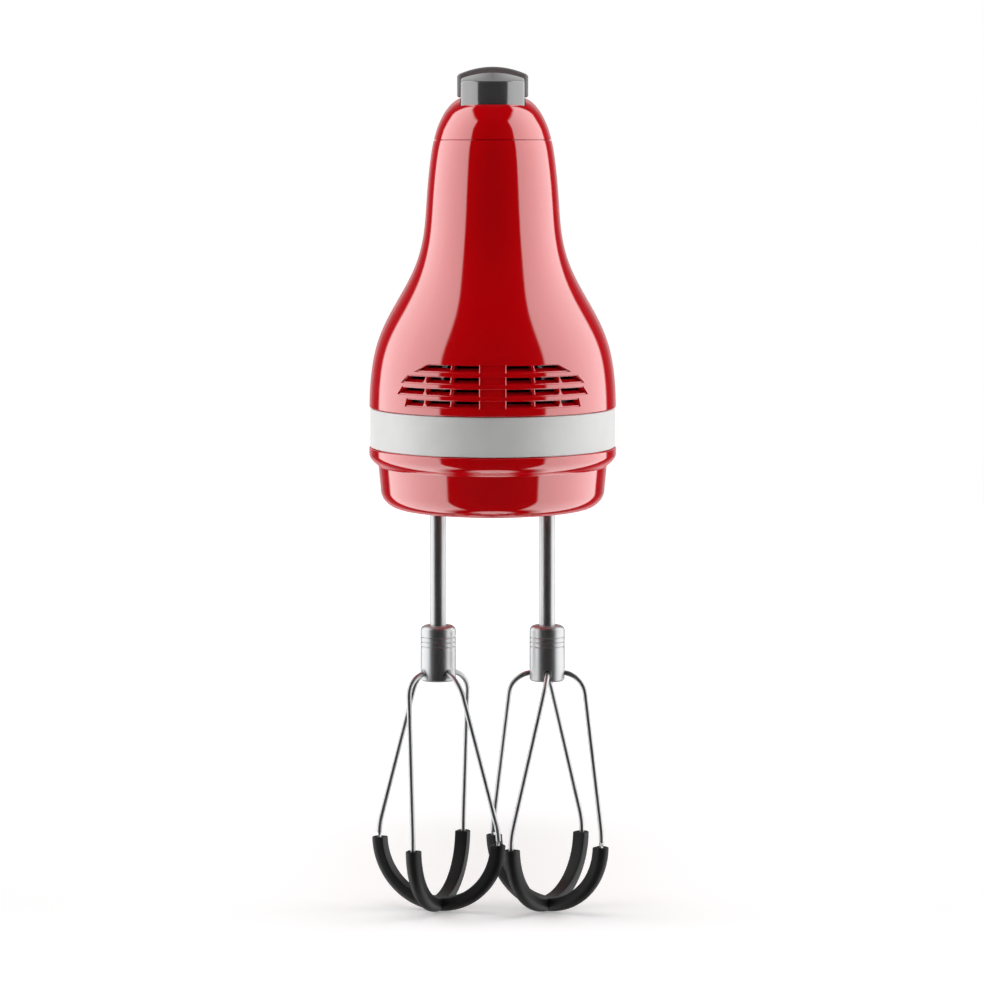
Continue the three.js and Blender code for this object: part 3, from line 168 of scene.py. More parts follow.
scene.world = bpy.data.worlds.new("Studio")
tree = cleared(scene.world)
facing = node(tree, "SeparateXYZ", node(tree, "TexCoord").outputs["Generated"])
aside = maths(tree, "ABSOLUTE", facing.outputs["X"])
ahead = maths(tree, "MULTIPLY", facing.outputs["Y"], -1)
turn = maths(tree, "DIVIDE", maths(tree, "ARCTAN2", aside, ahead), pi)
rise = maths(tree, "ARCSINE", facing.outputs["Z"])
rise = maths(tree, "MULTIPLY_ADD", rise, 1 / pi, 0.5)


def room(light, around, rising, table, lean=0.0):
    """The studio as a light of its own: the boxes round the mixer, and the table."""
    leans = maths(tree, "SUBTRACT", 1.0, maths(tree, "GREATER_THAN", turn, FRONT_EDGES))
    at = maths(tree, "SUBTRACT", turn, maths(tree, "MULTIPLY", leans, lean))
    boxes = maths(tree, "MULTIPLY", by_angle(tree, at, around, 0), by_angle(tree, rise, rising))
    seen = maths(tree, "MAXIMUM", boxes, by_angle(tree, rise, table))
    return output(tree, "Background", Color=seen, Strength=light)


mirrored = room(**GLOSSY, lean=by_angle(tree, rise, BOX_LEAN))
matt = room(**MATT)
fill, white = (output(tree, "Background", Color=(1, 1, 1, 1), Strength=strength)
               for strength in (AMBIENT, 1.0))
soft = output(tree, "AddShader", matt, fill)
path = node(tree, "LightPath").outputs
sharp = maths(tree, "MAXIMUM", path["Is Glossy Ray"], path["Is Transmission Ray"])
by_ray = output(tree, "MixShader", sharp, soft, mirrored)
whole = output(tree, "MixShader", path["Is Camera Ray"], by_ray, white)
node(tree, "OutputWorld", whole)

# %% [markdown]
# The floor is pale paper that fades to pure white away from the mixer, so no horizon shows.
# Mirror-like finishes look through it, because the map of directions already holds the table.

# %% Floor
FLOOR_RADIUS, FLOOR_SIDES, PAPER = 1.6, 96, 0.82
FLOOR_LIFT = [(0.08, 0.30), (0.5, 0.45), (1.0, 0.7)]
shape = bmesh.new()
bmesh.ops.create_circle(shape, cap_ends=True, segments=FLOOR_SIDES, radius=FLOOR_RADIUS)
floor = bpy.data.objects.new("floor", bpy.data.meshes.new("floor"))
shape.to_mesh(floor.data)
shape.free()
scene.collection.objects.link(floor)
paper = bpy.data.materials.new("studio_paper")
tree = cleared(paper)
matt = output(tree, "BsdfDiffuse", Color=(PAPER, PAPER, PAPER, 1))
away = node(tree, "VectorMath", node(tree, "TexCoord").outputs["Object"],
            mode=dict(operation="LENGTH")).outputs["Value"]
lift = output(tree, "Emission", Strength=ramp(tree, away, FLOOR_LIFT))
both = output(tree, "AddShader", matt, lift)
path = node(tree, "LightPath").outputs
seen = output(tree, "MixShader", path["Is Camera Ray"], matt, both)
clear = output(tree, "BsdfTransparent")
clear = output(tree, "MixShader", path["Is Glossy Ray"], seen, clear)
node(tree, "OutputMaterial", clear)
floor.data.materials.append(paper)


# %% [markdown]
# ## Finishes
# One builder makes every finish on Object coordinates, so its grain keeps its scale on every
# part. It varies the colour a little, moves the roughness between two values and adds a bump.

# %% A builder for finishes
BROADER = 14  # the colour varies this many times more broadly than the grain
NOISE_LOW, NOISE_HIGH = 0.3, 0.7


def finish(name, colour, rough, *, metal=0.0, coat=0.0, ior=1.5, coat_ior=1.5, grain=400.0,
           stretch=(1, 1, 1), vary=0.06, bump=(0.5, 0.05), sheen=None, speckle=None):
    """Colour varied by `vary`, roughness from rough[0] to rough[1], and a bump of some strength
    and depth in mm at `grain` cells a metre, stretched along an axis for brushed metal."""
    made = bpy.data.materials.new(name)
    made.use_nodes = True
    tree = made.node_tree
    shader = tree.nodes["Principled BSDF"]
    where = node(tree, "TexCoord").outputs["Object"]
    lay = output(tree, "Mapping", where, Scale=stretch)
    fine = output(tree, "TexNoise", Vector=lay, Scale=grain, Detail=4.0, Roughness=0.6)
    broad = output(tree, "TexNoise", Vector=where, Scale=grain / BROADER, Detail=2.0)
    dark, light = (tuple(min(1.0, c * (1 + way * vary)) for c in colour) for way in (-1, 1))
    tint = ramp(tree, broad, [(NOISE_LOW, dark), (NOISE_HIGH, light)])
    if speckle:
        tint = speckled(tree, tint, where, *speckle)
    wear = output(tree, "MapRange", fine, NOISE_LOW, NOISE_HIGH, *rough)
    plug(shader, Base_Color=tint, Roughness=wear, Metallic=metal, IOR=ior, Coat_Weight=coat,
         Coat_IOR=coat_ior, Coat_Roughness=0.02)
    press = output(tree, "Bump", Strength=bump[0], Distance=bump[1] * MM, Height=fine)
    plug(shader, Normal=press)
    if sheen:
        plug(shader, Sheen_Weight=sheen[0], Sheen_Roughness=sheen[1], Sheen_Tint=(*sheen[2], 1))
    return made


def speckled(tree, tint, where, scale, colour, share):
    """Small flecks of another colour, as in a filled moulding or a wound coil."""
    dots = node(tree, "TexVoronoi", Vector=where, Scale=scale).outputs["Distance"]
    mask = ramp(tree, dots, [(share, 1.0), (share + 0.08, 0.0)])
    mix = node(tree, "Mix", mask, mode=dict(data_type="RGBA"))
    tree.links.new(tint, mix.inputs[6])
    mix.inputs[7].default_value = (*colour, 1)
    return mix.outputs[2]


# %% [markdown]
# The red is a deep colour under a clear coat, which doubles the reflection and keeps it sharp.
# A red sheen lifts it where the form turns away. Two parts look different from the others in
# their slot: the gear frame is a black moulding, and the slider is satin in a lighter grey than
# the button, which is painted light that makes up for the shade where it sits behind the button.

# %% The finishes
FINISHES = {
    "gloss_shell": finish(
        "deep_red_gloss", (0.66, 0.0005, 0.003), (0.07, 0.11), coat=1.0, ior=1.8, coat_ior=1.8,
        grain=260, vary=0.02, bump=(0.05, 0.02), sheen=(1.0, 0.4, (1.0, 0.005, 0.03))),
    "satin_band": finish(
        "satin_silver", (0.88, 0.88, 0.875), (0.86, 0.92), metal=0.5, grain=900,
        stretch=(0.15, 0.15, 6), vary=0.03, bump=(0.15, 0.01)),
    "grey_control": finish(
        "grey_gloss", (0.075, 0.075, 0.078), (0.12, 0.18), coat=1.0, ior=2.2, coat_ior=1.7,
        grain=300, vary=0.05, bump=(0.05, 0.02)),
    # The slider's satin roughness is its own, but its grey is painted lighter than the button's:
    # painted light for the shade behind the button
    "grey_satin_painted_light": finish(
        "grey_satin_painted_light", (0.20, 0.20, 0.205), (0.40, 0.50), ior=1.4, grain=600, vary=0.05,
        bump=(0.1, 0.02)),
    "soft_grip": finish(
        "soft_touch", (0.05, 0.05, 0.052), (0.55, 0.75), grain=1800, vary=0.12),
    "black_moulding": finish(
        "black_moulding", (0.014, 0.014, 0.015), (0.35, 0.5), grain=1500, vary=0.15,
        bump=(0.35, 0.04)),
    "chrome_beater": finish(
        "polished_steel", (0.56, 0.565, 0.57), (0.34, 0.40), metal=0.92, grain=700,
        stretch=(1, 1, 0.1), vary=0.02, bump=(0.04, 0.01)),
    "black_sleeve": finish(
        "black_sleeve", (0.012, 0.012, 0.013), (0.42, 0.56), ior=1.38, grain=1400, vary=0.2,
        bump=(0.4, 0.04)),
    "nylon": finish(
        "natural_nylon", (0.78, 0.74, 0.62), (0.35, 0.5), grain=500, vary=0.05, bump=(0.2, 0.05),
        speckle=(900, (0.6, 0.56, 0.45), 0.12)),
    "steel": finish(
        "turned_steel", (0.55, 0.55, 0.56), (0.2, 0.36), metal=1.0, grain=1200,
        stretch=(0.3, 0.3, 4), bump=(0.2, 0.02)),
    "lamination": finish(
        "varnished_laminations", (0.16, 0.17, 0.19), (0.35, 0.55), metal=0.9, grain=1500,
        stretch=(0.1, 8, 0.1), vary=0.2, bump=(0.5, 0.06)),
    "copper": finish(
        "enamelled_copper", (0.60, 0.22, 0.08), (0.22, 0.38), metal=0.9, grain=1700,
        stretch=(0.1, 3, 0.1), vary=0.15, bump=(0.5, 0.08)),
    "bronze": finish(
        "sintered_bronze", (0.46, 0.32, 0.14), (0.35, 0.5), metal=0.9, grain=1600, vary=0.15,
        bump=(0.3, 0.03), speckle=(1500, (0.2, 0.13, 0.06), 0.15)),
    "carbon": finish(
        "graphite", (0.03, 0.03, 0.032), (0.5, 0.7), grain=1800, vary=0.3, bump=(0.4, 0.03)),
    "circuit_board": finish(
        "green_laminate", (0.03, 0.14, 0.06), (0.25, 0.4), grain=900, vary=0.2, bump=(0.2, 0.03),
        speckle=(240, (0.6, 0.45, 0.15), 0.1)),
}
OWN_LOOK = {"gear_frame": "black_moulding", "speed_slider": "grey_satin_painted_light"}
SLOT_OF = {part["node"]: part["material_slot"] for part in frame["record"]["subparts"]}
for name, solid in frame["nodes"].items():
    solid.data.materials.clear()
    solid.data.materials.append(FINISHES[OWN_LOOK.get(name, SLOT_OF[name])])


# %% [markdown]
# ## The housing's form
# The housing is a bullet in plan: half an ellipse at the nose, sides that draw in towards the
# back, and a flat heel with rounded corners. Four lines say how it narrows with height. They
# feed a formula for how far a point lies outside the form, which is zero on the skin. So the
# finger opening can be blended in with one soft edge all round.

# %% The four lines and the plan
HALF_WIDTH, NOSE, HEEL, WIDEST = 45.5, 38.0, 162.0, 18.0
HEEL_CORNER, NECK, WALL, GAP = 9.0, 0.5, 2.5, 0.3
BAND_LOW, BAND_TOP, BAND_INSET, BAND_THICK = 22.5, 36.8, 0.4, 0.9
NOSE_STEPS, SIDE_STEPS, CORNER_STEPS, QUARTER_TURN = 96, 36, 10, pi / 2
SEAM, TOP = 135.0, 150.6
FLANK_LINE = [
    (0, 0), (30, 0), (42, 0.1), (57.5, 1.9), (68.5, 6), (79.6, 12.5), (90.6, 18), (102, 20.5),
    (116, 21.4), (131, 23.1), (138.5, 24.9), (144, 27.3), (147.4, 29.7), (150.6, 33.2)]
NOSE_LINE = [
    (0, 0), (30, 0), (48, 0.3), (57.5, 2.2), (68.5, 7.5), (79.6, 14), (90.6, 19),
    (102, 21.5), (131, 23.5), (138.5, 25.5), (145, 29.5), (150.6, 37)]
HEEL_LINE = [(0, 0), (60, 0), (80, 2), (92, 6), (117, 12), (135, 19), (145, 26), (150.6, 34)]
REAR_LINE = [
    (0, 40), (45, 40), (57.5, 38), (68.5, 33), (80, 25.5), (95, 19.5), (117, 17.5),
    (135, 17), (144, 14.5), (150.6, 10.5)]


def through(points):
    """A smooth line through a few points that never overshoots between them."""
    x, y = (np.array(v, float) for v in zip(*points))
    slope = np.diff(y) / np.diff(x)
    before, after = np.r_[slope[0], slope], np.r_[slope, slope[-1]]
    same = before * after > 0
    total = np.where(same, before + after, 1)
    lean = np.where(same, 2 * before * after / total, 0)

    def line(at):
        at = np.asarray(at, float)
        i = np.clip(np.searchsorted(x, at) - 1, 0, len(x) - 2)
        step = x[i + 1] - x[i]
        t = np.clip((at - x[i]) / step, 0, 1)
        return (y[i] * (1 + 2 * t) * (1 - t) ** 2 + y[i + 1] * t * t * (3 - 2 * t)
                + step * (lean[i] * t * (1 - t) ** 2 - lean[i + 1] * t * t * (1 - t)))
    return line


def eased(points, spread=5.0, keep=(112, 128), step=0.05):
    """The same line with its bends spread out, so that none shows as a kink in a reflection.
    Above keep[1] the line is left as it is, since it turns fast there."""
    line = through(points)
    at = np.arange(points[0][0], points[-1][0] + step, step)
    value = line(at)
    reach = int(4 * spread / step)
    ahead = 2 * value[0] - value[reach:0:-1]
    after = 2 * value[-1] - value[-2:-reach - 2:-1]
    weight = np.exp(-0.5 * (np.arange(-reach, reach + 1) * step / spread) ** 2)
    smooth = np.convolve(np.r_[ahead, value, after], weight / weight.sum(), "valid")
    share = np.clip((at - keep[0]) / (keep[1] - keep[0]), 0, 1)
    value = smooth + (value - smooth) * share * share * (3 - 2 * share)
    return lambda z: np.interp(z, at, value)


flank, nose_line, heel_line, rear_line = map(eased, (FLANK_LINE, NOSE_LINE, HEEL_LINE, REAR_LINE))


def plan(z, inset):
    """Half-width, half-width behind, front, back and corner radius at a height."""
    half = HALF_WIDTH - flank(z) - inset
    rear = np.minimum(half, rear_line(z) - inset)
    return half, rear, nose_line(z) - NOSE + inset, HEEL - heel_line(z) - inset, \
        np.minimum(HEEL_CORNER, rear * 0.8)


def side_half(y, half, rear, back):
    t = np.clip((y - WIDEST) / ((back - WIDEST) * NECK), 0, 1)
    return half + (rear - half) * t * t * (3 - 2 * t)


def plan_ring(z, inset=0.0):
    """The outline of the housing at a height, as points in order."""
    half, rear, front, back, corner = (float(v) for v in plan(z, inset))
    y = WIDEST + np.linspace(0, 1, SIDE_STEPS) ** 1.1 * (back - corner - WIDEST)
    right = list(zip(side_half(y, half, rear, back), y))
    for turn in np.linspace(0, QUARTER_TURN, CORNER_STEPS + 1)[1:]:
        right.append((rear - corner * (1 - cos(turn)), back - corner * (1 - sin(turn))))
    left = [(-px, py) for px, py in reversed(right)]
    turn = pi * (1 + np.arange(1, NOSE_STEPS) / NOSE_STEPS)
    ahead = list(zip(half * np.cos(turn), WIDEST + (WIDEST - front) * np.sin(turn)))
    return [(px, py, z) for px, py in right + left + ahead]


# %% The formula of the whole form
SOFT_TOP, SOFT_OPENING = 2.2, 8.0
OPENING = dict(front=40.0, back=127.0, low=67.0, high=119.0, corner=20.0, flare=7.0, most=1.6,
               along=0.6, crown=1.4)


def soft_max(a, b, soft):
    h = np.maximum(soft - np.abs(a - b), 0) / soft
    return np.maximum(a, b) + h * h * soft / 4


def rounded_box(px, py, corner):
    """Distance from a rounded corner whose two faces lie px and py away."""
    qx, qy = px + corner, py + corner
    outside = np.hypot(np.maximum(qx, 0), np.maximum(qy, 0))
    return outside + np.minimum(np.maximum(qx, qy), 0) - corner


def body(x, y, z):
    half, rear, front, back, corner = plan(z, 0)
    behind = rounded_box(np.abs(x) - side_half(y, half, rear, back), y - back, corner)
    ahead = (np.hypot(x / half, (y - WIDEST) / (WIDEST - front)) - 1) * half
    return soft_max(np.where(y < WIDEST, ahead, behind), z - TOP, SOFT_TOP)


def opening(x, y, z):
    """The finger opening, which flares towards the skin, its floor more and as a saddle."""
    o = OPENING
    share = np.minimum(np.abs(x) / (HALF_WIDTH + 2), 1)
    edge = o["flare"] * np.minimum(o["most"], (np.abs(x) / rear_line(o["high"])) ** 3)
    crown = o["flare"] * o["crown"] * share * share
    y_mid = (o["back"] + o["front"]) / 2
    y_half = (o["back"] - o["front"]) / 2 + o["along"] * edge
    low, high = o["low"] - crown, o["high"] + edge
    return rounded_box(np.abs(y - y_mid) - y_half, np.abs(z - (low + high) / 2) - (high - low) / 2,
                       o["corner"])


def form(x, y, z):
    return soft_max(body(x, y, z), -opening(x, y, z), SOFT_OPENING)


# %% [markdown]
# ## From formula to mesh
# On a grid, each cell that the skin passes through gets one vertex, and each edge that it
# crosses one face between the four cells around it. The vertices then move to the exact skin.

# %% Skin a formula
def slope(field, points, reach=0.02):
    """Gradient of a formula at each point."""
    out = np.empty_like(points)
    for axis in range(3):
        step = np.zeros(3)
        step[axis] = reach
        out[:, axis] = (field(*(points + step).T) - field(*(points - step).T)) / (2 * reach)
    return out


def settle(field, points, times=4):
    for _ in range(times):
        lean = slope(field, points)
        steep = np.maximum((lean ** 2).sum(1), 1e-6)
        points = points - field(*points.T)[:, None] * lean / steep[:, None]
    return points


def skin(field, low, high, cell):
    """Vertices and faces of the closed surface where the formula is zero."""
    lines = [np.arange(a, b + cell, cell) for a, b in zip(low, high)]
    value = field(*np.meshgrid(*lines, indexing="ij"))
    inside, unit = value < 0, np.eye(3, dtype=int)
    cells = tuple(n - 1 for n in value.shape)
    view = lambda a, s: a[tuple(slice(low, low + n) for low, n in zip(s, cells))]
    corners = [(i, j, k) for i in (0, 1) for j in (0, 1) for k in (0, 1)]
    count = sum(view(inside, s).astype(np.int8) for s in corners)
    mixed = (count > 0) & (count < 8)
    total, hits = np.zeros((mixed.sum(), 3)), np.zeros(mixed.sum())
    for a in corners:
        for axis in range(3):
            if a[axis]:
                continue
            fa, fb = view(value, a)[mixed], view(value, a + unit[axis])[mixed]
            cross = (fa < 0) != (fb < 0)
            share = (fa / np.where(cross, fa - fb, 1))[:, None]
            total[cross] += (a + unit[axis] * share)[cross]
            hits[cross] += 1
    home = np.argwhere(mixed)
    points = np.array(low) + (home + total / hits[:, None]) * cell
    number = np.full(cells, -1)
    number[mixed] = np.arange(len(points))
    faces = []
    for axis in range(3):
        u, v = unit[(axis + 1) % 3], unit[(axis + 2) % 3]
        near, far = [slice(1, -1)] * 3, [slice(1, -1)] * 3
        near[axis], far[axis] = slice(0, -1), slice(1, None)
        here, there = inside[tuple(near)], inside[tuple(far)]
        spot = np.argwhere(here != there)
        quad = np.stack([number[tuple((spot + i * u + j * v).T)]
                         for i, j in ((0, 0), (1, 0), (1, 1), (0, 1))], 1)
        flip = ~here[here != there]
        quad[flip] = quad[flip, ::-1]
        faces.append(quad)
    return settle(field, points), np.concatenate(faces)


# %% [markdown]
# ## Tools for shaping
# `stack` joins housing outlines into a block or ring, `carve` cuts one closed mesh out of
# another, and `polish` gives the finished skin the formula's own normals, so a reflection runs
# over it without a ripple, however the cuts have divided its faces.

# %% Shaping tools
MERGE, ON_SKIN, ALIKE = 1e-5, 0.04, 0.8


def drawn(points, faces, edges=()):
    mesh = bpy.data.meshes.new("piece")
    mesh.from_pydata([tuple(p) for p in points], edges, [tuple(f) for f in faces])
    made = bpy.data.objects.new("piece", mesh)
    scene.collection.objects.link(made)
    return made


def outwards(made):
    shape = bmesh.new()
    shape.from_mesh(made.data)
    bmesh.ops.remove_doubles(shape, verts=shape.verts, dist=MERGE)
    bmesh.ops.recalc_face_normals(shape, faces=shape.faces)
    shape.to_mesh(made.data)
    shape.free()
    return made


def loft(rings, closed=False):
    """Rings of equally many points joined in order; capped at both ends, or closed on itself."""
    count = len(rings[0])
    points = [p for ring in rings for p in ring]
    faces = []
    for r in range(len(rings) - (0 if closed else 1)):
        a, b = r * count, ((r + 1) % len(rings)) * count
        faces += [(a + i, a + (i + 1) % count, b + (i + 1) % count, b + i) for i in range(count)]
    if not closed:
        faces += [range(count), range(len(points) - count, len(points))]
    return outwards(drawn(points, faces))


def stack(profile, closed=False):
    return loft([plan_ring(z, inset) for inset, z in profile], closed)


def bake(made):
    """Turns the object's modifiers into a plain mesh."""
    bpy.context.view_layer.update()
    graph = bpy.context.evaluated_depsgraph_get()
    mesh = bpy.data.meshes.new_from_object(made.evaluated_get(graph), depsgraph=graph)
    made.modifiers.clear()
    made.data = mesh
    return made


def carve(made, *cutters, how="DIFFERENCE"):
    for cutter in cutters:
        step = made.modifiers.new("carve", "BOOLEAN")
        step.object, step.operation, step.solver = cutter, how, "MANIFOLD"
    bake(made)
    for cutter in cutters:
        bpy.data.objects.remove(cutter)
    return made


def rounded(radius, x=0.0, z=0.0, way=1, steps=4):
    """A quarter round of (inset, height) pairs up to a face at z that looks up (1) or down."""
    turns = np.linspace(0, QUARTER_TURN, steps + 1)
    return [(x + radius * (1 - cos(a)), z - way * radius * (1 - sin(a))) for a in turns]


def box(low, high):
    x, y, z = zip(low, high)
    points = [(x[i], y[j], z[k]) for i in (0, 1) for j in (0, 1) for k in (0, 1)]
    faces = [(0, 1, 3, 2), (4, 6, 7, 5), (0, 4, 5, 1), (2, 3, 7, 6), (0, 2, 6, 4), (1, 5, 7, 3)]
    return drawn(points, faces)


def prism(outline, low, high):
    return loft([[(x, y, z) for x, y in outline] for z in (low, high)])


def turned(profile, steps=64, axis="Z", at=(0, 0, 0), closed=False):
    """A turned piece from (radius, length) pairs, about an axis through `at`."""
    turns = np.linspace(0, 2 * pi, steps, endpoint=False)
    order = {"X": (2, 0, 1), "Y": (0, 2, 1), "Z": (0, 1, 2)}[axis]
    rings = []
    for radius, length in profile:
        radius = max(radius, 1e-4)
        flat = [(radius * cos(t), radius * sin(t), length) for t in turns]
        rings.append([tuple(p[i] + start for i, start in zip(order, at)) for p in flat])
    return loft(rings, closed)


def moved(made, x=0.0, y=0.0, z=0.0, turn=0.0, axis="Z"):
    """The piece turned by some degrees and then shifted."""
    spin = Matrix.Rotation(radians(turn), 4, axis)
    made.data.transform(Matrix.Translation((x, y, z)) @ spin)
    return made


def polish(made, field, angle):
    """Smooth shading, sharp past `angle`; on the formula's skin, the formula's own normals."""
    mesh = made.data
    mesh.shade_smooth()
    mesh.set_sharp_from_angle(angle=radians(angle))
    if field:
        points = np.array([v.co for v in mesh.vertices])
        lean = slope(field, points)
        lean /= np.maximum(np.linalg.norm(lean, axis=1), 1e-9)[:, None]
        corner = np.array([loop.vertex_index for loop in mesh.loops])
        sides = [face.loop_total for face in mesh.polygons]
        facing = np.repeat([face.normal for face in mesh.polygons], sides, 0)
        alike = (facing * lean[corner]).sum(1) > ALIKE
        on_skin = (np.abs(field(*points.T)) < ON_SKIN)[corner] & alike
        normals = np.where(on_skin[:, None], lean[corner], 0)
        mesh.transform(PLACE)
        mesh.normals_split_custom_set(normals.tolist())
    else:
        made.modifiers.new("even", "WEIGHTED_NORMAL").keep_sharp = True
        bake(made).data.transform(PLACE)


def dressed(made, name, slot, body, *replaced, look=None, field=None, angle=32):
    """Polishes a piece, then gives it its name, finish and body, and hides the solids it stands
    for.
    """
    polish(made, field, angle)
    made.name = name
    made.data.materials.clear()
    made.data.materials.append(FINISHES[look or slot])
    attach(made, body)
    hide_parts(*replaced)
    print(made.name, len(made.data.polygons), "faces")


# %% [markdown]
# ## Upper housing
# One hollow moulding: nose, neck, rear pillar and handle. A second skin inside the first makes
# the wall, and cutters take away what lies above the parting line and behind the band. Behind
# a shallow groove the parting line is shut, as a tongue shuts the real one.

# %% Upper housing, block and parting lines
EDGE_ROUND, SEAM_ROUND, SEAM_DEPTH, SEAM_FIT = 0.4, 0.15, 0.6, 0.01
JOINT = (BAND_LOW + BAND_TOP) / 2
RECESS = BAND_INSET + BAND_THICK + GAP
OUT = 4.0  # cutters reach this far past the surface they cut
WEST, EAST = (-48, -41), (48, 165)  # the corners in plan of the room in which skins are sought
SHELL_CELL, ROOM_CELL, CAP_CELL, CAP_ROOM_CELL = 1.25, 2.5, 0.9, 2.0


def above(low, wall=0):
    """The form above a height, or the room that a wall of this thickness leaves in it."""
    return lambda x, y, z: np.maximum(form(x, y, z) + wall, low - z)


def beyond_seam(z, up, end):
    """All that lies past the parting line, with a groove and a rounded edge at z."""
    edge = rounded(SEAM_ROUND, 0, z, up)
    return stack([(SEAM_DEPTH, SEAM - up * SEAM_FIT), (SEAM_DEPTH, z), *reversed(edge),
                  (-OUT, edge[0][1]), (-OUT, end)])


upper = drawn(*skin(above(24), (*WEST, 20), (*EAST, 154), SHELL_CELL))
edge = rounded(EDGE_ROUND, 0, BAND_TOP + GAP, -1)
behind_band = stack([(RECESS, 18), (RECESS, BAND_TOP + GAP), *reversed(edge),
                     (-OUT, edge[0][1]), (-OUT, 18)], True)
carve(upper, drawn(*skin(above(22, WALL), (*WEST, 18), (*EAST, 154), ROOM_CELL)),
      beyond_seam(SEAM - GAP / 2, 1, TOP + 10), behind_band,
      box((-60, -60, 0), (60, 180, JOINT + GAP / 2)))


# %% [markdown]
# ## Louvres
# Four rows of slots cross the nose on each side of a closed middle. Each is a shallow channel
# with rounded lips and a slanting outer end. Through-cuts at its bottom leave set-back ribs.

# %% Louvre cutters
VENT_PITCH, VENT_SLOT, VENT_LAND = 4.2, 2.3, 3.3
VENT_START, VENT_RIB, RIB_PLACES, LAST_OPENING = 5.0, 1.4, (14.9, 24.6), 3.0
VENT_SLANT = (0.5, 1.4, 2.0, 4.0)
VENT_REACH = (31.5, 34.1, 32.7, 27.6)
VENT_END, RIB_BACK, VENT_LIP, VENT_DEEP, VENT_STEP = 0.3, 0.5, 0.35, 7, 0.8
MIDDLE_GROOVE, MIDDLE_LIP, END_ROUND, LOUVRE_SLOPE, SLOPE_START = 0.35, 0.3, 0.8, 1.2, 3.0
LEAST_DEEP = 0.02  # a cutter's end stays this far inside the skin


def nose_point(x, z, out):
    """A point `out` mm outside the nose's skin, at x and z."""
    half, _, front, _, _ = plan(z, 0)
    y = WIDEST - (WIDEST - front) * sqrt(max(0, 1 - (x / half) ** 2))
    lean = Vector((x / half ** 2, (y - WIDEST) / (WIDEST - front) ** 2)).normalized()
    return (x + out * lean.x, y + out * lean.y, z)


def channel(x0, x1, z0, z1, depth, lip, start=0.8, ends=(0.0, 0.0), floor=0.0, slope=0.0,
            slant=0.0, reach=1.0):
    """A cutter along the nose, from `start` outside the skin to `depth` inside it. Its lips are
    rounded by `lip` and its ends by `ends`, from the depth `floor` down. `slope` raises the
    bottom of the slot towards the inside. `slant` draws in the top of its end at `reach`."""
    arc = [(-lip * sin(a), lip * (1 - cos(a))) for a in np.linspace(0, QUARTER_TURN, 4)]
    top = [(start, z1 + lip), *((out, z1 + lip - drop) for out, drop in arc if lip)]
    bottom = [(out, z0 + z1 - z) for out, z in reversed(top)]
    raised = z0 + slope
    section = [*top, (-depth, z1), (-depth, raised), (-min(depth, SLOPE_START), raised), *bottom]
    way = copysign(1, x1 - x0)
    stations = [(x, depth) for x in np.linspace(x0, x1, max(4, int(abs(x1 - x0) / VENT_STEP)))]
    for x, side, soft in zip((x0, x1), (-1, 1), ends):
        if soft:
            turns = np.linspace(0, QUARTER_TURN, 6)[::side]
            end = [(x + side * way * (0.01 + soft * (1 - cos(t))),
                    floor + soft * (1 - sin(t))) for t in turns]
            stations = [*end, *stations] if side < 0 else [*stations, *end]

    def across(x, z):
        return x - way * slant * min(abs(x) / reach, 1.0) ** 4 * (z - z0) / (z1 - z0)
    return loft([[nose_point(across(x, z), z, max(out, -max(deep, LEAST_DEEP)))
                  for out, z in section] for x, deep in stations])


channels, through_cuts = [], []
for row, (reach, slant) in enumerate(zip(VENT_REACH, VENT_SLANT)):
    z0 = BAND_TOP + VENT_LAND + row * VENT_PITCH
    z1 = z0 + VENT_SLOT
    middle = VENT_START - END_ROUND
    channels.append(channel(-middle, middle, z0, z1, MIDDLE_GROOVE, MIDDLE_LIP))
    for side in (-1, 1):
        channels.append(channel(side * VENT_START, side * reach, z0, z1, RIB_BACK, VENT_LIP,
                                ends=(END_ROUND, 0), slant=slant, reach=reach))
        ribs = [x for x in RIB_PLACES if x < reach - LAST_OPENING]
        starts = [VENT_START, *(x + VENT_RIB / 2 for x in ribs)]
        stops = [*(x - VENT_RIB / 2 for x in ribs), reach - VENT_END]
        for start, stop in zip(starts, stops):
            soft = [VENT_RIB / 2 * at_rib for at_rib in (start != starts[0], stop != stops[-1])]
            through_cuts.append(channel(side * start, side * stop, z0, z1, VENT_DEEP, 0,
                                        -RIB_BACK / 2, soft, RIB_BACK, LOUVRE_SLOPE, slant, reach))
carve(upper, *channels)
carve(upper, *through_cuts)


# %% [markdown]
# ## Gland hole, grip recess and the finished upper housing
# The gland turns in a round hole through the heel, and the soft pad lies in a recess along
# the underside of the handle.

# %% Back openings, and the upper housing finished
GLAND_HEIGHT, GLAND_RADIUS, GLAND_PROUD, GLAND_BORE = 92.0, 9.0, 4.5, 3.6
GRIP_HALF, GRIP_LENGTH, GRIP_THICK, GRIP_PROUD = 8.5, 58.0, 2.4, 1.1
gland_face = HEEL - float(heel_line(GLAND_HEIGHT)) + GLAND_PROUD
grip_middle = (OPENING["front"] + OPENING["back"]) / 2
grip_low = OPENING["high"] - GRIP_PROUD


def stadium(half, length, middle, steps=20):
    turns = np.linspace(0, pi, steps + 1)
    end = [(half * cos(t), length / 2 - half + half * sin(t)) for t in turns]
    return [(x, middle + y) for x, y in end] + [(-x, middle - y) for x, y in end]


carve(upper,
      turned([(GLAND_RADIUS + GAP, gland_face + along) for along in (-22, 6)],
             axis="Y", at=(0, 0, GLAND_HEIGHT)),
      prism(stadium(GRIP_HALF + GAP, GRIP_LENGTH + 2 * GAP, grip_middle),
            grip_low - OUT, grip_low + GRIP_THICK + GAP))
dressed(upper, "upper_housing_shell", "gloss_shell", "housing", "upper_housing", field=form)


# %% [markdown]
# ## Handle cover
# A cap over the handle, from the same formula, so that its sides run on from the housing,
# with the hole for the eject button and the slot for the slider's stem.

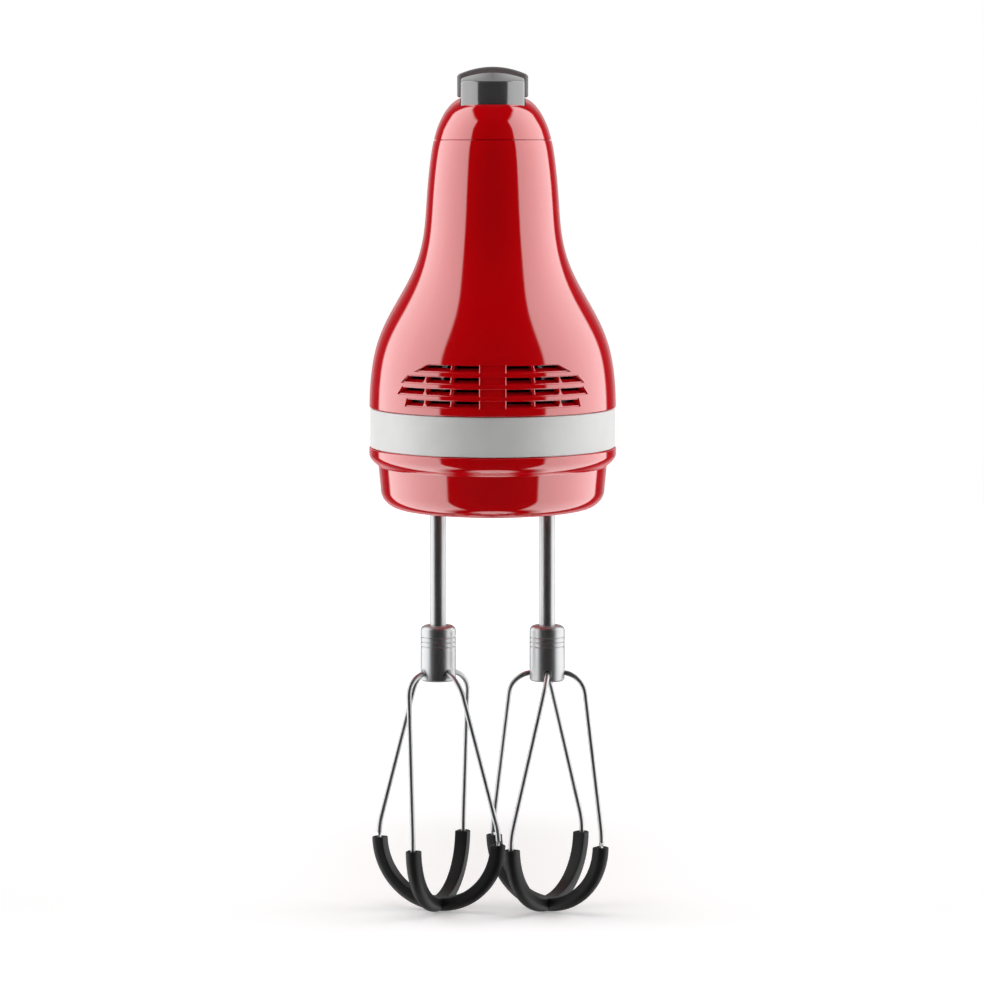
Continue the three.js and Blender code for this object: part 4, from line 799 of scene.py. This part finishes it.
# %% Handle cover
BUTTON_HALF, BUTTON_FRONT, BUTTON_BACK, BUTTON_BOW = 11.6, -5.0, 14.0, 7.2
BUTTON_CORNER, BOW_STEPS, BEND_STEPS, BEND_REACH, BEND_RISE = 0.8, 18, 30, 2.2, 1.9
SLIDER_HALF, SLIDER_FRONT, SLIDER_BACK, SLIDER_TRAVEL, STEM = 13.2, 36.0, 50.0, 18.0, 3.0
SLIDER_CORNER, SLIDER_BOW = 1.8, 0.5
slider_middle = (SLIDER_FRONT + SLIDER_BACK) / 2


def corner_arc(x, y, r, turns):
    """Points on a corner round about (x, y), at these turns from the x axis."""
    return [(x + r * cos(t), y + r * sin(t)) for t in turns]


def mirrored_ring(right):
    """A whole outline from its right half, which runs from the middle to the middle."""
    return right + [(-x, y) for x, y in reversed(right[1:-1])]


def slider_plan(inset):
    """The slider's outline: a block with rounded corners and a slightly bowed front."""
    half, front, back = SLIDER_HALF - inset, SLIDER_FRONT + inset, SLIDER_BACK - inset
    r = min(max(SLIDER_CORNER - inset, 0.02), half)
    turns, x, y0, y1 = np.linspace(0, QUARTER_TURN, 9), half - r, front + r, back - r
    right = [(side, front) for side in np.linspace(0, x, 10)[:-1]]
    right += corner_arc(x, y0, r, turns - QUARTER_TURN)
    right += [(half, y) for y in np.linspace(y0, y1, 10)[1:-1]]
    right += corner_arc(x, y1, r, turns)
    right += [(side, back) for side in np.linspace(x, 0, 10)[1:]]
    depth = max(back - front, 1e-6)
    return [(x, y + SLIDER_BOW * (x / half) ** 2 * (back - y) / depth)
            for x, y in mirrored_ring(right)]


def button_plan(inset):
    """The button's outline: its front is a bow that follows the neck, square at the back."""
    half, back = BUTTON_HALF - inset, BUTTON_BACK - inset
    scale, r = half / BUTTON_HALF, max(BUTTON_CORNER - inset, 0.02)
    right = []
    for x in np.linspace(0, BUTTON_HALF, BOW_STEPS):
        lean = 2 * BUTTON_BOW * x / BUTTON_HALF ** 2
        across = inset / hypot(1, lean)
        right.append((x - across * lean,
                      BUTTON_BOW * (x / BUTTON_HALF) ** 2 + BUTTON_FRONT + across))
    # A soft bend takes the place of the last stretch of the bow and the first of the side
    right = [(x, y) for x, y in right if x < half - BEND_REACH * scale] or right[:1]
    x0, y0 = right[-1]
    y1 = y0 + (half - x0) * 0.9
    y2 = max(y0 + BEND_RISE * scale * BUTTON_BOW / 4, y1 + 0.3)
    for t in np.linspace(0, 1, BEND_STEPS - len(right) + 1)[1:]:
        a, b, c = (1 - t) ** 2, 2 * t * (1 - t), t * t
        right.append((a * x0 + b * half + c * half, a * y0 + b * y1 + c * y2))
    start = right[-1][1]
    right += [(half, y) for y in np.linspace(start, max(back - r, start + 0.1), 8)[1:-1]]
    right += corner_arc(half - r, back - r, r, np.linspace(0, QUARTER_TURN, 6))
    return mirrored_ring(right + [(x, back) for x in np.linspace(half - r, 0, 8)[1:]])


cap_west, cap_east = (-26, -22), (26, 146)
cover = drawn(*skin(above(133), (*cap_west, 131), (*cap_east, 153), CAP_CELL))
slot = stadium(STEM + GAP, SLIDER_TRAVEL + 2 * STEM + 2 * GAP, slider_middle - SLIDER_TRAVEL / 2)
carve(cover, drawn(*skin(above(131, WALL), (*cap_west, 129), (*cap_east, 153), CAP_ROOM_CELL)),
      beyond_seam(SEAM + GAP / 2, -1, 10), prism(button_plan(-GAP), SEAM - OUT, TOP + OUT),
      prism(slot, SEAM - OUT, TOP + OUT))
dressed(cover, "handle_cover_cap", "gloss_shell", "housing", "handle_cover", field=form)


# %% [markdown]
# ## Lower housing
# A tub in one closed stack of outlines: a lip under the band, a rim, and a broad round to the
# flat underside.

# %% Lower housing
FOOT_ROUND, RIM_INSET, RIM_DRAFT, RIM_HEIGHT, LIP_HEIGHT, LIP_CURVE = 7.0, 3.4, 0.8, 15.6, 19.9, 1.8
POSTS = [(sign * x, y) for x, y in ((33, 44), (28, 132)) for sign in (-1, 1)]
POST_RADIUS, SPINDLE_HOLE = 5, 5.7
SCREW_HEAD, SCREW_SINK, SCREW_HEIGHT = 3.4, 2.0, 2.2


def lip(share):
    return RIM_INSET * (1 - share) ** LIP_CURVE, RIM_HEIGHT + share * (LIP_HEIGHT - RIM_HEIGHT)


foot_inset = RIM_INSET + RIM_DRAFT
outside = [(0, LIP_HEIGHT), *(lip(share) for share in (*np.arange(9, 0, -1) / 10, 0.04)),
           (RIM_INSET + 0.02, RIM_HEIGHT - 0.2),
           (RIM_INSET + RIM_DRAFT / 2, (RIM_HEIGHT + FOOT_ROUND) / 2),
           *rounded(FOOT_ROUND, foot_inset, 0, -1, 14)]
inside = [(12.5, WALL), (10, 3.2), (7.6, 5.5), (foot_inset + WALL, 8),
          (RIM_INSET + WALL, RIM_HEIGHT), (WALL, LIP_HEIGHT + 0.8), (WALL, JOINT - GAP / 2),
          (RECESS, JOINT - GAP / 2)]
edge = rounded(EDGE_ROUND, 0, BAND_LOW - GAP)
lower = stack([*inside, (RECESS, BAND_LOW - GAP), *reversed(edge), *outside])
for x, y in POSTS:
    post = turned([(POST_RADIUS, 1), (POST_RADIUS, 26)], 32, at=(x, y, 0))
    carve(lower, post, how="UNION")
cuts = [turned([(SCREW_HEAD + GAP, -1), (SCREW_HEAD + GAP, 4.5)], 32, at=(x, y, 0))
        for x, y in POSTS]
cuts += [turned([(SPINDLE_HOLE, -1), (SPINDLE_HOLE, 4)], at=(x, 0, 0)) for x in (-AXIS_X, AXIS_X)]
carve(lower, *cuts)
dressed(lower, "lower_housing_tub", "gloss_shell", "housing", "lower_housing", angle=28)


# %% [markdown]
# ## Trim band
# A thin bare ring with rolled edges, let in between the two housings.

# %% Trim band
BAND_EDGE = 0.35
flat = BAND_TOP - BAND_LOW - 2 * BAND_EDGE
inner = BAND_INSET + BAND_THICK
band = stack([
    (inner, BAND_TOP), *rounded(BAND_EDGE, BAND_INSET, BAND_TOP)[::-1],
    *((BAND_INSET, BAND_LOW + BAND_EDGE + share * flat) for share in (0.75, 0.5, 0.25)),
    *rounded(BAND_EDGE, BAND_INSET, BAND_LOW, -1), (inner, BAND_LOW)], True)
dressed(band, "trim_band_ring", "satin_band", "housing", "trim_band", angle=40)


# %% [markdown]
# ## Eject button and speed slider
# Both are blocks with a crowned top: above their rounded edge the outline shrinks towards the
# middle while its height follows the crown.

# %% Button and slider
def crowned(outline, low, top, edge, reach, steps=6, rings=7, chamfer=0.4):
    """A block with its upper edge rounded by `edge` under top(x, y), drawn in to `reach`."""
    def ring(inset, drop):
        return [(x, y, top(x, y) - drop) for x, y in outline(inset)]
    foot = low + chamfer
    base = [[(x, y, z) for x, y in outline(inset)] for inset, z in ((chamfer, low), (0, foot))]
    side = [(x, y, foot + 0.5 * (top(x, y) - edge - foot)) for x, y in outline(0)]
    over = [ring(inset, drop) for inset, drop in rounded(edge, 0, 0, -1, steps)]
    across = [ring(edge + s * (reach - edge), 0) for s in np.linspace(0, 1, rings + 1)[1:]]
    return loft([*base, side, *over, *across])


BUTTON_TOP, BUTTON_RISE, BUTTON_DOME, BUTTON_CROWN, BUTTON_BODY = TOP + 5.0, 1.8, 0.4, 2.2, 6.0
SLIDER_TOP, SLIDER_DOME, SLIDER_FALL = TOP + 8.5, 3.0, 0.5
BUTTON_EDGE, BUTTON_REACH, SLIDER_EDGE, SLIDER_REACH = 0.7, 9.4, 0.8, 6.4


def button_top(x, y):
    along = (y - BUTTON_FRONT) / (BUTTON_BACK - BUTTON_FRONT)
    dome = BUTTON_DOME + (BUTTON_CROWN - BUTTON_DOME) * along
    return BUTTON_TOP + BUTTON_RISE * along + dome * (1 - (x / BUTTON_HALF) ** 2)


def slider_top(x, y):
    along = (y - SLIDER_FRONT) / (SLIDER_BACK - SLIDER_FRONT)
    return SLIDER_TOP - SLIDER_FALL * along ** 2 + SLIDER_DOME * (1 - (x / SLIDER_HALF) ** 2)


button = crowned(button_plan, TOP - BUTTON_BODY, button_top, BUTTON_EDGE, BUTTON_REACH)
dressed(button, "eject_button_cap", "grey_control", "ejector", "eject_button", angle=50)

slider = crowned(slider_plan, TOP + GAP, slider_top, SLIDER_EDGE, SLIDER_REACH)
stem = prism(stadium(STEM, 2 * STEM, slider_middle), SEAM + 2, TOP + 1)
carve(slider, stem, how="UNION")


# %% [markdown]
# ## Things that repeat
# Ridges, ribs, fins and screws are drawn once, and a geometry-node tree sets their copies out.
# Another tree turns a line into a wire. Both leave plain meshes behind.

# %% Geometry-node helpers
def graph(name, **sockets):
    """A new tree with a geometry input and output and the named inputs; returns it with them."""
    tree = bpy.data.node_groups.new(name, "GeometryNodeTree")
    tree.is_modifier = True
    for way in ("OUTPUT", "INPUT"):
        tree.interface.new_socket("Geometry", in_out=way, socket_type="NodeSocketGeometry")
    for label, kind in sockets.items():
        tree.interface.new_socket(label, in_out="INPUT", socket_type=f"NodeSocket{kind}")
    return tree, node(tree, "NodeGroupInput").outputs


def close_graph(tree, shape, material):
    real = output(tree, "RealizeInstances", shape)
    node(tree, "NodeGroupOutput", output(tree, "SetMaterial", real, Material=material))
    return tree


def grow(made, tree, **values):
    """Runs the tree on the object with the given inputs and keeps the plain mesh."""
    step = made.modifiers.new(tree.name, "NODES")
    step.node_group = tree
    for socket in tree.interface.items_tree:
        if socket.in_out == "INPUT" and socket.name in values:
            step[socket.identifier] = values[socket.name]
    return bake(made)


# Copies of `Part` on every vertex of the given mesh, each turned by the same step more
tree, given = graph("parts_on_points", Part="Object", Turn="Vector", Finish="Material")
turn = output(tree, "ShaderNodeVectorMath", given["Turn"], mode=dict(operation="SCALE"),
              Scale=output(tree, "InputIndex"))
part = node(tree, "ObjectInfo", given["Part"]).outputs["Geometry"]
copies = output(tree, "InstanceOnPoints", Points=given["Geometry"], Instance=part,
                Rotation=turn)
SET_OUT = close_graph(tree, copies, given["Finish"])

# A round wire of a given thickness along a drawn line
tree, given = graph("wire_along_line", Radius="Float", Sides="Int", Finish="Material")
curve = output(tree, "MeshToCurve", Mesh=given["Geometry"])
ring = output(tree, "CurvePrimitiveCircle", mode=dict(mode="RADIUS"),
              Resolution=given["Sides"], Radius=given["Radius"])
tube = output(tree, "CurveToMesh", Curve=curve, Profile_Curve=ring, Fill_Caps=True)
WIRE = close_graph(tree, tube, given["Finish"])

# %% Ridges on the slider, the grip pad and the gland
def bar(half, top, height, width, steps=16, foot=-0.4):
    """A rounded bar along x that follows the height top(x)."""
    turns = np.linspace(0, pi, 7)
    section = [(-width / 2 * cos(t), height * sin(t)) for t in turns]
    section += [(width / 2, foot), (-width / 2, foot)]
    rings = []
    for share in np.linspace(-1, 1, steps + 1):
        k = sqrt(max(0.0, 1 - abs(share) ** 12)) * 0.98 + 0.02
        rings.append([(share * half, y * k, top(share * half) + z * k) for y, z in section])
    return loft(rings)


def copies_of(part, points, finish_name, turn=(0, 0, 0)):
    """Copies of a part on the points, each turned by `turn` radians more than the last."""
    made = grow(drawn(points, []), SET_OUT, Part=part, Turn=turn,
                Finish=FINISHES[finish_name])
    bpy.data.objects.remove(part)
    return made


def joined(made, other):
    both = bmesh.new()
    both.from_mesh(made.data)
    both.from_mesh(other.data)
    both.to_mesh(made.data)
    both.free()
    bpy.data.objects.remove(other)
    return made


def in_row(count, pitch, middle=0.0, drop=0.0):
    """Points along y about a middle, each `drop` lower than the one before."""
    return [(0, middle + (i - (count - 1) / 2) * pitch, -i * drop) for i in range(count)]


RIDGES, RIDGE_HALF, RIDGE_HIGH, RIDGE_WIDE, RIDGE_PITCH, RIDGE_SUNK = 5, 9.5, 0.28, 0.7, 1.5, 0.28
ridge = bar(RIDGE_HALF, lambda x: slider_top(x, slider_middle) - RIDGE_SUNK, RIDGE_HIGH, RIDGE_WIDE)
joined(slider, copies_of(ridge, in_row(RIDGES, RIDGE_PITCH, slider_middle, 0.01), "grey_control"))
dressed(slider, "speed_slider_knob", "grey_control", "speed_control", "speed_slider",
        look="grey_satin_painted_light", angle=50)

RIBS, RIB_HALF, RIB_HIGH, RIB_WIDE, RIB_PITCH = 12, 6.6, 0.65, 1.5, 3.8
pad = crowned(lambda inset: stadium(GRIP_HALF - inset, GRIP_LENGTH - 2 * inset, 0),
              0, lambda x, y: GRIP_THICK - 0.4, 0.6, 6)
rib = bar(RIB_HALF, lambda x: GRIP_THICK - RIB_HIGH, RIB_HIGH, RIB_WIDE)
joined(pad, copies_of(rib, in_row(RIBS, RIB_PITCH), "soft_grip"))
moved(pad, 0, grip_middle, grip_low + GRIP_THICK, 180, "Y")
dressed(pad, "grip_pad_soft", "soft_grip", "housing", "grip_pad", angle=50)

FINS = 24
r = GLAND_RADIUS
drum = turned([(radius, gland_face - along) for radius, along in (
    (GLAND_BORE, 13.5), (r - 0.5, 13.5), (r - 0.2, 13), (r - 0.2, 1), (r - 0.5, 0.3), (r - 1.2, 0),
    (6.6, 0), (6.2, 0.5), (5.2, 0.5), (4.8, 0.1), (4.3, 0.2), (GLAND_BORE, 1))],
    72, "Y", closed=True)
fin = box((-0.35, -1.6, r - 0.6), (0.35, 1.6, r - 0.03))
joined(drum, copies_of(fin, [(0, gland_face - 2.6, 0)] * FINS, "black_moulding",
                       (0, 2 * pi / FINS, 0)))
moved(drum, z=GLAND_HEIGHT)
dressed(drum, "gland_drum", "black_moulding", "cord_gland", "cord_swivel", angle=40)

SCREW_RADIUS, SCREW_LENGTH, SCREW_TURN = 1.9, 39, 0.9
CROSS_HALF, CROSS_WIDE, CROSS_DEEP = 1.9, 0.4, 1.2
screw = turned([(radius, SCREW_SINK + z) for radius, z in (
    (0, 0), (2.2, 0.05), (3.0, 0.4), (SCREW_HEAD, 1.1), (SCREW_HEAD, SCREW_HEIGHT),
    (SCREW_RADIUS, SCREW_HEIGHT), (SCREW_RADIUS, SCREW_LENGTH), (0, SCREW_LENGTH))], 32)
for x, y in ((CROSS_HALF, CROSS_WIDE), (CROSS_WIDE, CROSS_HALF)):
    carve(screw, box((-x, -y, 0), (x, y, SCREW_SINK + CROSS_DEEP)))
screws = copies_of(screw, [(x, y, 0) for x, y in POSTS], "steel", (0, 0, SCREW_TURN))
dressed(screws, "housing_screws", "steel", "housing", angle=40,
        *(f"housing_screw_{end}_{side}" for end in ("front", "rear") for side in ("left", "right")))


# %% [markdown]
# ## Beaters
# Each beater is a shaft in a turned collar, two bent wires that cross at the bottom, and one
# sleeve moulding over the crossing. The sleeve is swept in a section that is flat towards the
# inside, then joined, bored and opened at its four tips.

# %% Beater sizes and paths
SHAFT_RADIUS, SHAFT_TOP, SHAFT_SEAT = 2.95, 40.5, 12.0
NECK_LOW, NECK_HIGH, NECK_DEEP = 28.0, 31.0, 0.5
COLLAR_TOP, COLLAR_RADIUS, COLLAR_LENGTH, COLLAR_ROUND = -41.9, 6.45, 20.4, 2.0
COLLAR_LOW = COLLAR_TOP - COLLAR_LENGTH
HOLE_HEIGHT = COLLAR_LOW + 2.9
RING_DROPS, RING_WIDE, RING_DEEP, FIT = (7.7, 6.0, 4.3), 0.26, 0.22, 0.1
WIRE_RADIUS, WIRE_BEND, WIRE_SHOULDER, WIRE_END = 0.95, 9.0, 13.0, 2.2
CAGE_RADIUS, CAGE_HEIGHT = 23.8, 88.6
SLEEVE_TIP, SLEEVE_HALF, SLEEVE_OUTER, SLEEVE_INNER = 26.2, 2.6, 2.65, 2.55
LOWEST = HOLE_HEIGHT - CAGE_HEIGHT
CROSSING = WIRE_RADIUS + GAP / 2
PHASE = {"left": 67.8, "right": 56.0}
LEG_TWIST = {"left": -34.0, "right": 34.0}
LUG_REACH, LUG_THICK, LUG_LOW, LUG_TOP, POCKET, BORE_FIT = 1.5, 1.2, 1.5, 6.5, 1.6, 0.08


def bent(corners, steps=12):
    """A line through points in space, each (x, y, z, radius), with true arcs at its corners."""
    line = [Vector(corners[0][:3])]
    for before, corner, after in zip(corners, corners[1:], corners[2:]):
        here, radius = Vector(corner[:3]), corner[3]
        into = (here - Vector(before[:3])).normalized()
        out = (Vector(after[:3]) - here).normalized()
        bend = into.angle(out)
        start = here - into * radius * tan(bend / 2)
        aside = (out - into * out.dot(into)).normalized()
        for turn in np.linspace(0, bend, steps + 1):
            line.append(start + into * radius * sin(turn) + aside * radius * (1 - cos(turn)))
    return [*line, Vector(corners[-1][:3])]


def wire_line(lift, twist):
    """A loop in the plane y = 0 whose upper ends are turned about the axis by the twist."""
    across, along = cos(radians(twist)), sin(radians(twist))
    half = [(WIRE_END * across, WIRE_END * along, HOLE_HEIGHT, 0),
            (WIRE_SHOULDER * across, WIRE_SHOULDER * along, HOLE_HEIGHT, WIRE_BEND),
            (CAGE_RADIUS, 0, LOWEST + SLEEVE_TIP + WIRE_BEND / 2, 3 * WIRE_BEND),
            (CAGE_RADIUS, 0, LOWEST + SLEEVE_OUTER + lift, CAGE_RADIUS)]
    line = bent(half + [(-x, -y, z, r) for x, y, z, r in reversed(half)], 16)
    return [tuple(p) for i, p in enumerate(line) if i == 0 or (p - line[i - 1]).length > 0.02]


def wires(radius, twist, sides=20):
    """The low wire and the high one, which stands square to it."""
    pair = []
    for lift in (-CROSSING, CROSSING):
        line = wire_line(lift, twist)
        made = drawn(line, [], [(i, i + 1) for i in range(len(line) - 1)])
        pair.append(grow(made, WIRE, Radius=radius, Sides=sides, Finish=FINISHES["chrome_beater"]))
    moved(pair[1], turn=90)
    return pair


def sleeve_arm():
    centre = LOWEST + SLEEVE_OUTER + CAGE_RADIUS
    lean = asin((centre - LOWEST - SLEEVE_TIP) / CAGE_RADIUS)
    section = [(SLEEVE_OUTER * sin(t), SLEEVE_HALF * cos(t)) for t in np.linspace(0, pi, 15)]
    soft = [(0.7, 0), (0.2, 0.2), (0, 0.7)]
    section += [(a - SLEEVE_INNER, b - SLEEVE_HALF) for a, b in soft]
    section += [(a - SLEEVE_INNER, SLEEVE_HALF - b) for a, b in reversed(soft)]
    tip = [(lean, 0.35), (lean + 0.006, 0.1), (lean + 0.014, 0)]
    middle = [(t, 0) for t in np.linspace(lean + 0.03, pi - lean - 0.03, 49)]
    rings = []
    for turn, shrink in [*tip, *middle, *((pi - t, shrink) for t, shrink in reversed(tip))]:
        k = 1 - shrink / SLEEVE_HALF
        rings.append([((CAGE_RADIUS + u * k) * cos(turn), v * k,
                       centre - (CAGE_RADIUS + u * k) * sin(turn)) for u, v in section])
    return loft(rings)


# %% Build both beaters
for side, sign in (("left", -1), ("right", 1)):
    twist = LEG_TWIST[side]
    seat, thin = COLLAR_TOP - SHAFT_SEAT, SHAFT_RADIUS - NECK_DEEP
    shaft = turned([
        (0, seat + GAP), (SHAFT_RADIUS, seat + GAP), (SHAFT_RADIUS, NECK_LOW),
        (thin, NECK_LOW + 0.5), (thin, NECK_HIGH - 0.5), (SHAFT_RADIUS, NECK_HIGH),
        (SHAFT_RADIUS, SHAFT_TOP - 1.2), (SHAFT_RADIUS - 1.0, SHAFT_TOP), (0, SHAFT_TOP)], 48)
    x, y = SHAFT_RADIUS + LUG_REACH, LUG_THICK / 2
    lugs = box((-x, -y, LUG_LOW), (x, y, LUG_TOP))
    carve(shaft, moved(lugs, turn=-PHASE[side]), how="UNION")

    r = COLLAR_RADIUS
    profile = [(0, COLLAR_LOW), (r - 0.6, COLLAR_LOW), (r, COLLAR_LOW + 0.5)]
    for drop in RING_DROPS:
        z = COLLAR_TOP - drop
        profile += [(r, z - RING_WIDE), (r - RING_DEEP, z), (r, z + RING_WIDE)]
    profile += [(r - inset, z) for inset, z in rounded(COLLAR_ROUND, 0, COLLAR_TOP, 1, 8)]
    collar = turned([*profile, (0, COLLAR_TOP)], 72)
    carve(collar, turned([(SHAFT_RADIUS + more, z) for more, z in (
        (FIT, seat), (FIT, COLLAR_TOP - 0.4), (0.6, COLLAR_TOP + FIT), (0.6, COLLAR_TOP + 1))], 48))
    for quarter in range(4):
        hole = turned([(WIRE_RADIUS + more, x) for more, x in (
            (FIT, WIRE_END - GAP), (FIT, r - 0.75), (1.0, r + 0.1), (1.0, r + 2))],
            24, "X", (0, 0, HOLE_HEIGHT))
        carve(collar, moved(hole, turn=90 * quarter + twist))

    arm = sleeve_arm()
    carve(arm, moved(sleeve_arm(), turn=90), how="UNION")
    tip = LOWEST + SLEEVE_TIP
    for quarter in range(4):
        pocket = box((CAGE_RADIUS - POCKET, -POCKET, tip - POCKET),
                     (CAGE_RADIUS + POCKET, POCKET, tip + 2))
        carve(arm, moved(pocket, turn=90 * quarter))
    for bore in wires(WIRE_RADIUS + BORE_FIT, twist, 16):
        carve(arm, bore)

    low_wire, high_wire = wires(WIRE_RADIUS, twist)
    for made, part in ((shaft, "shaft"), (collar, "collar"), (low_wire, "wire_low"),
                       (high_wire, "wire_high"), (arm, "sleeve")):
        moved(made, sign * AXIS_X, turn=PHASE[side])
        beater, look = f"{side}_beater", "black_sleeve" if part == "sleeve" else "chrome_beater"
        dressed(made, f"{side}_{part}_fine", look, beater, f"{beater}_{part}", angle=40)
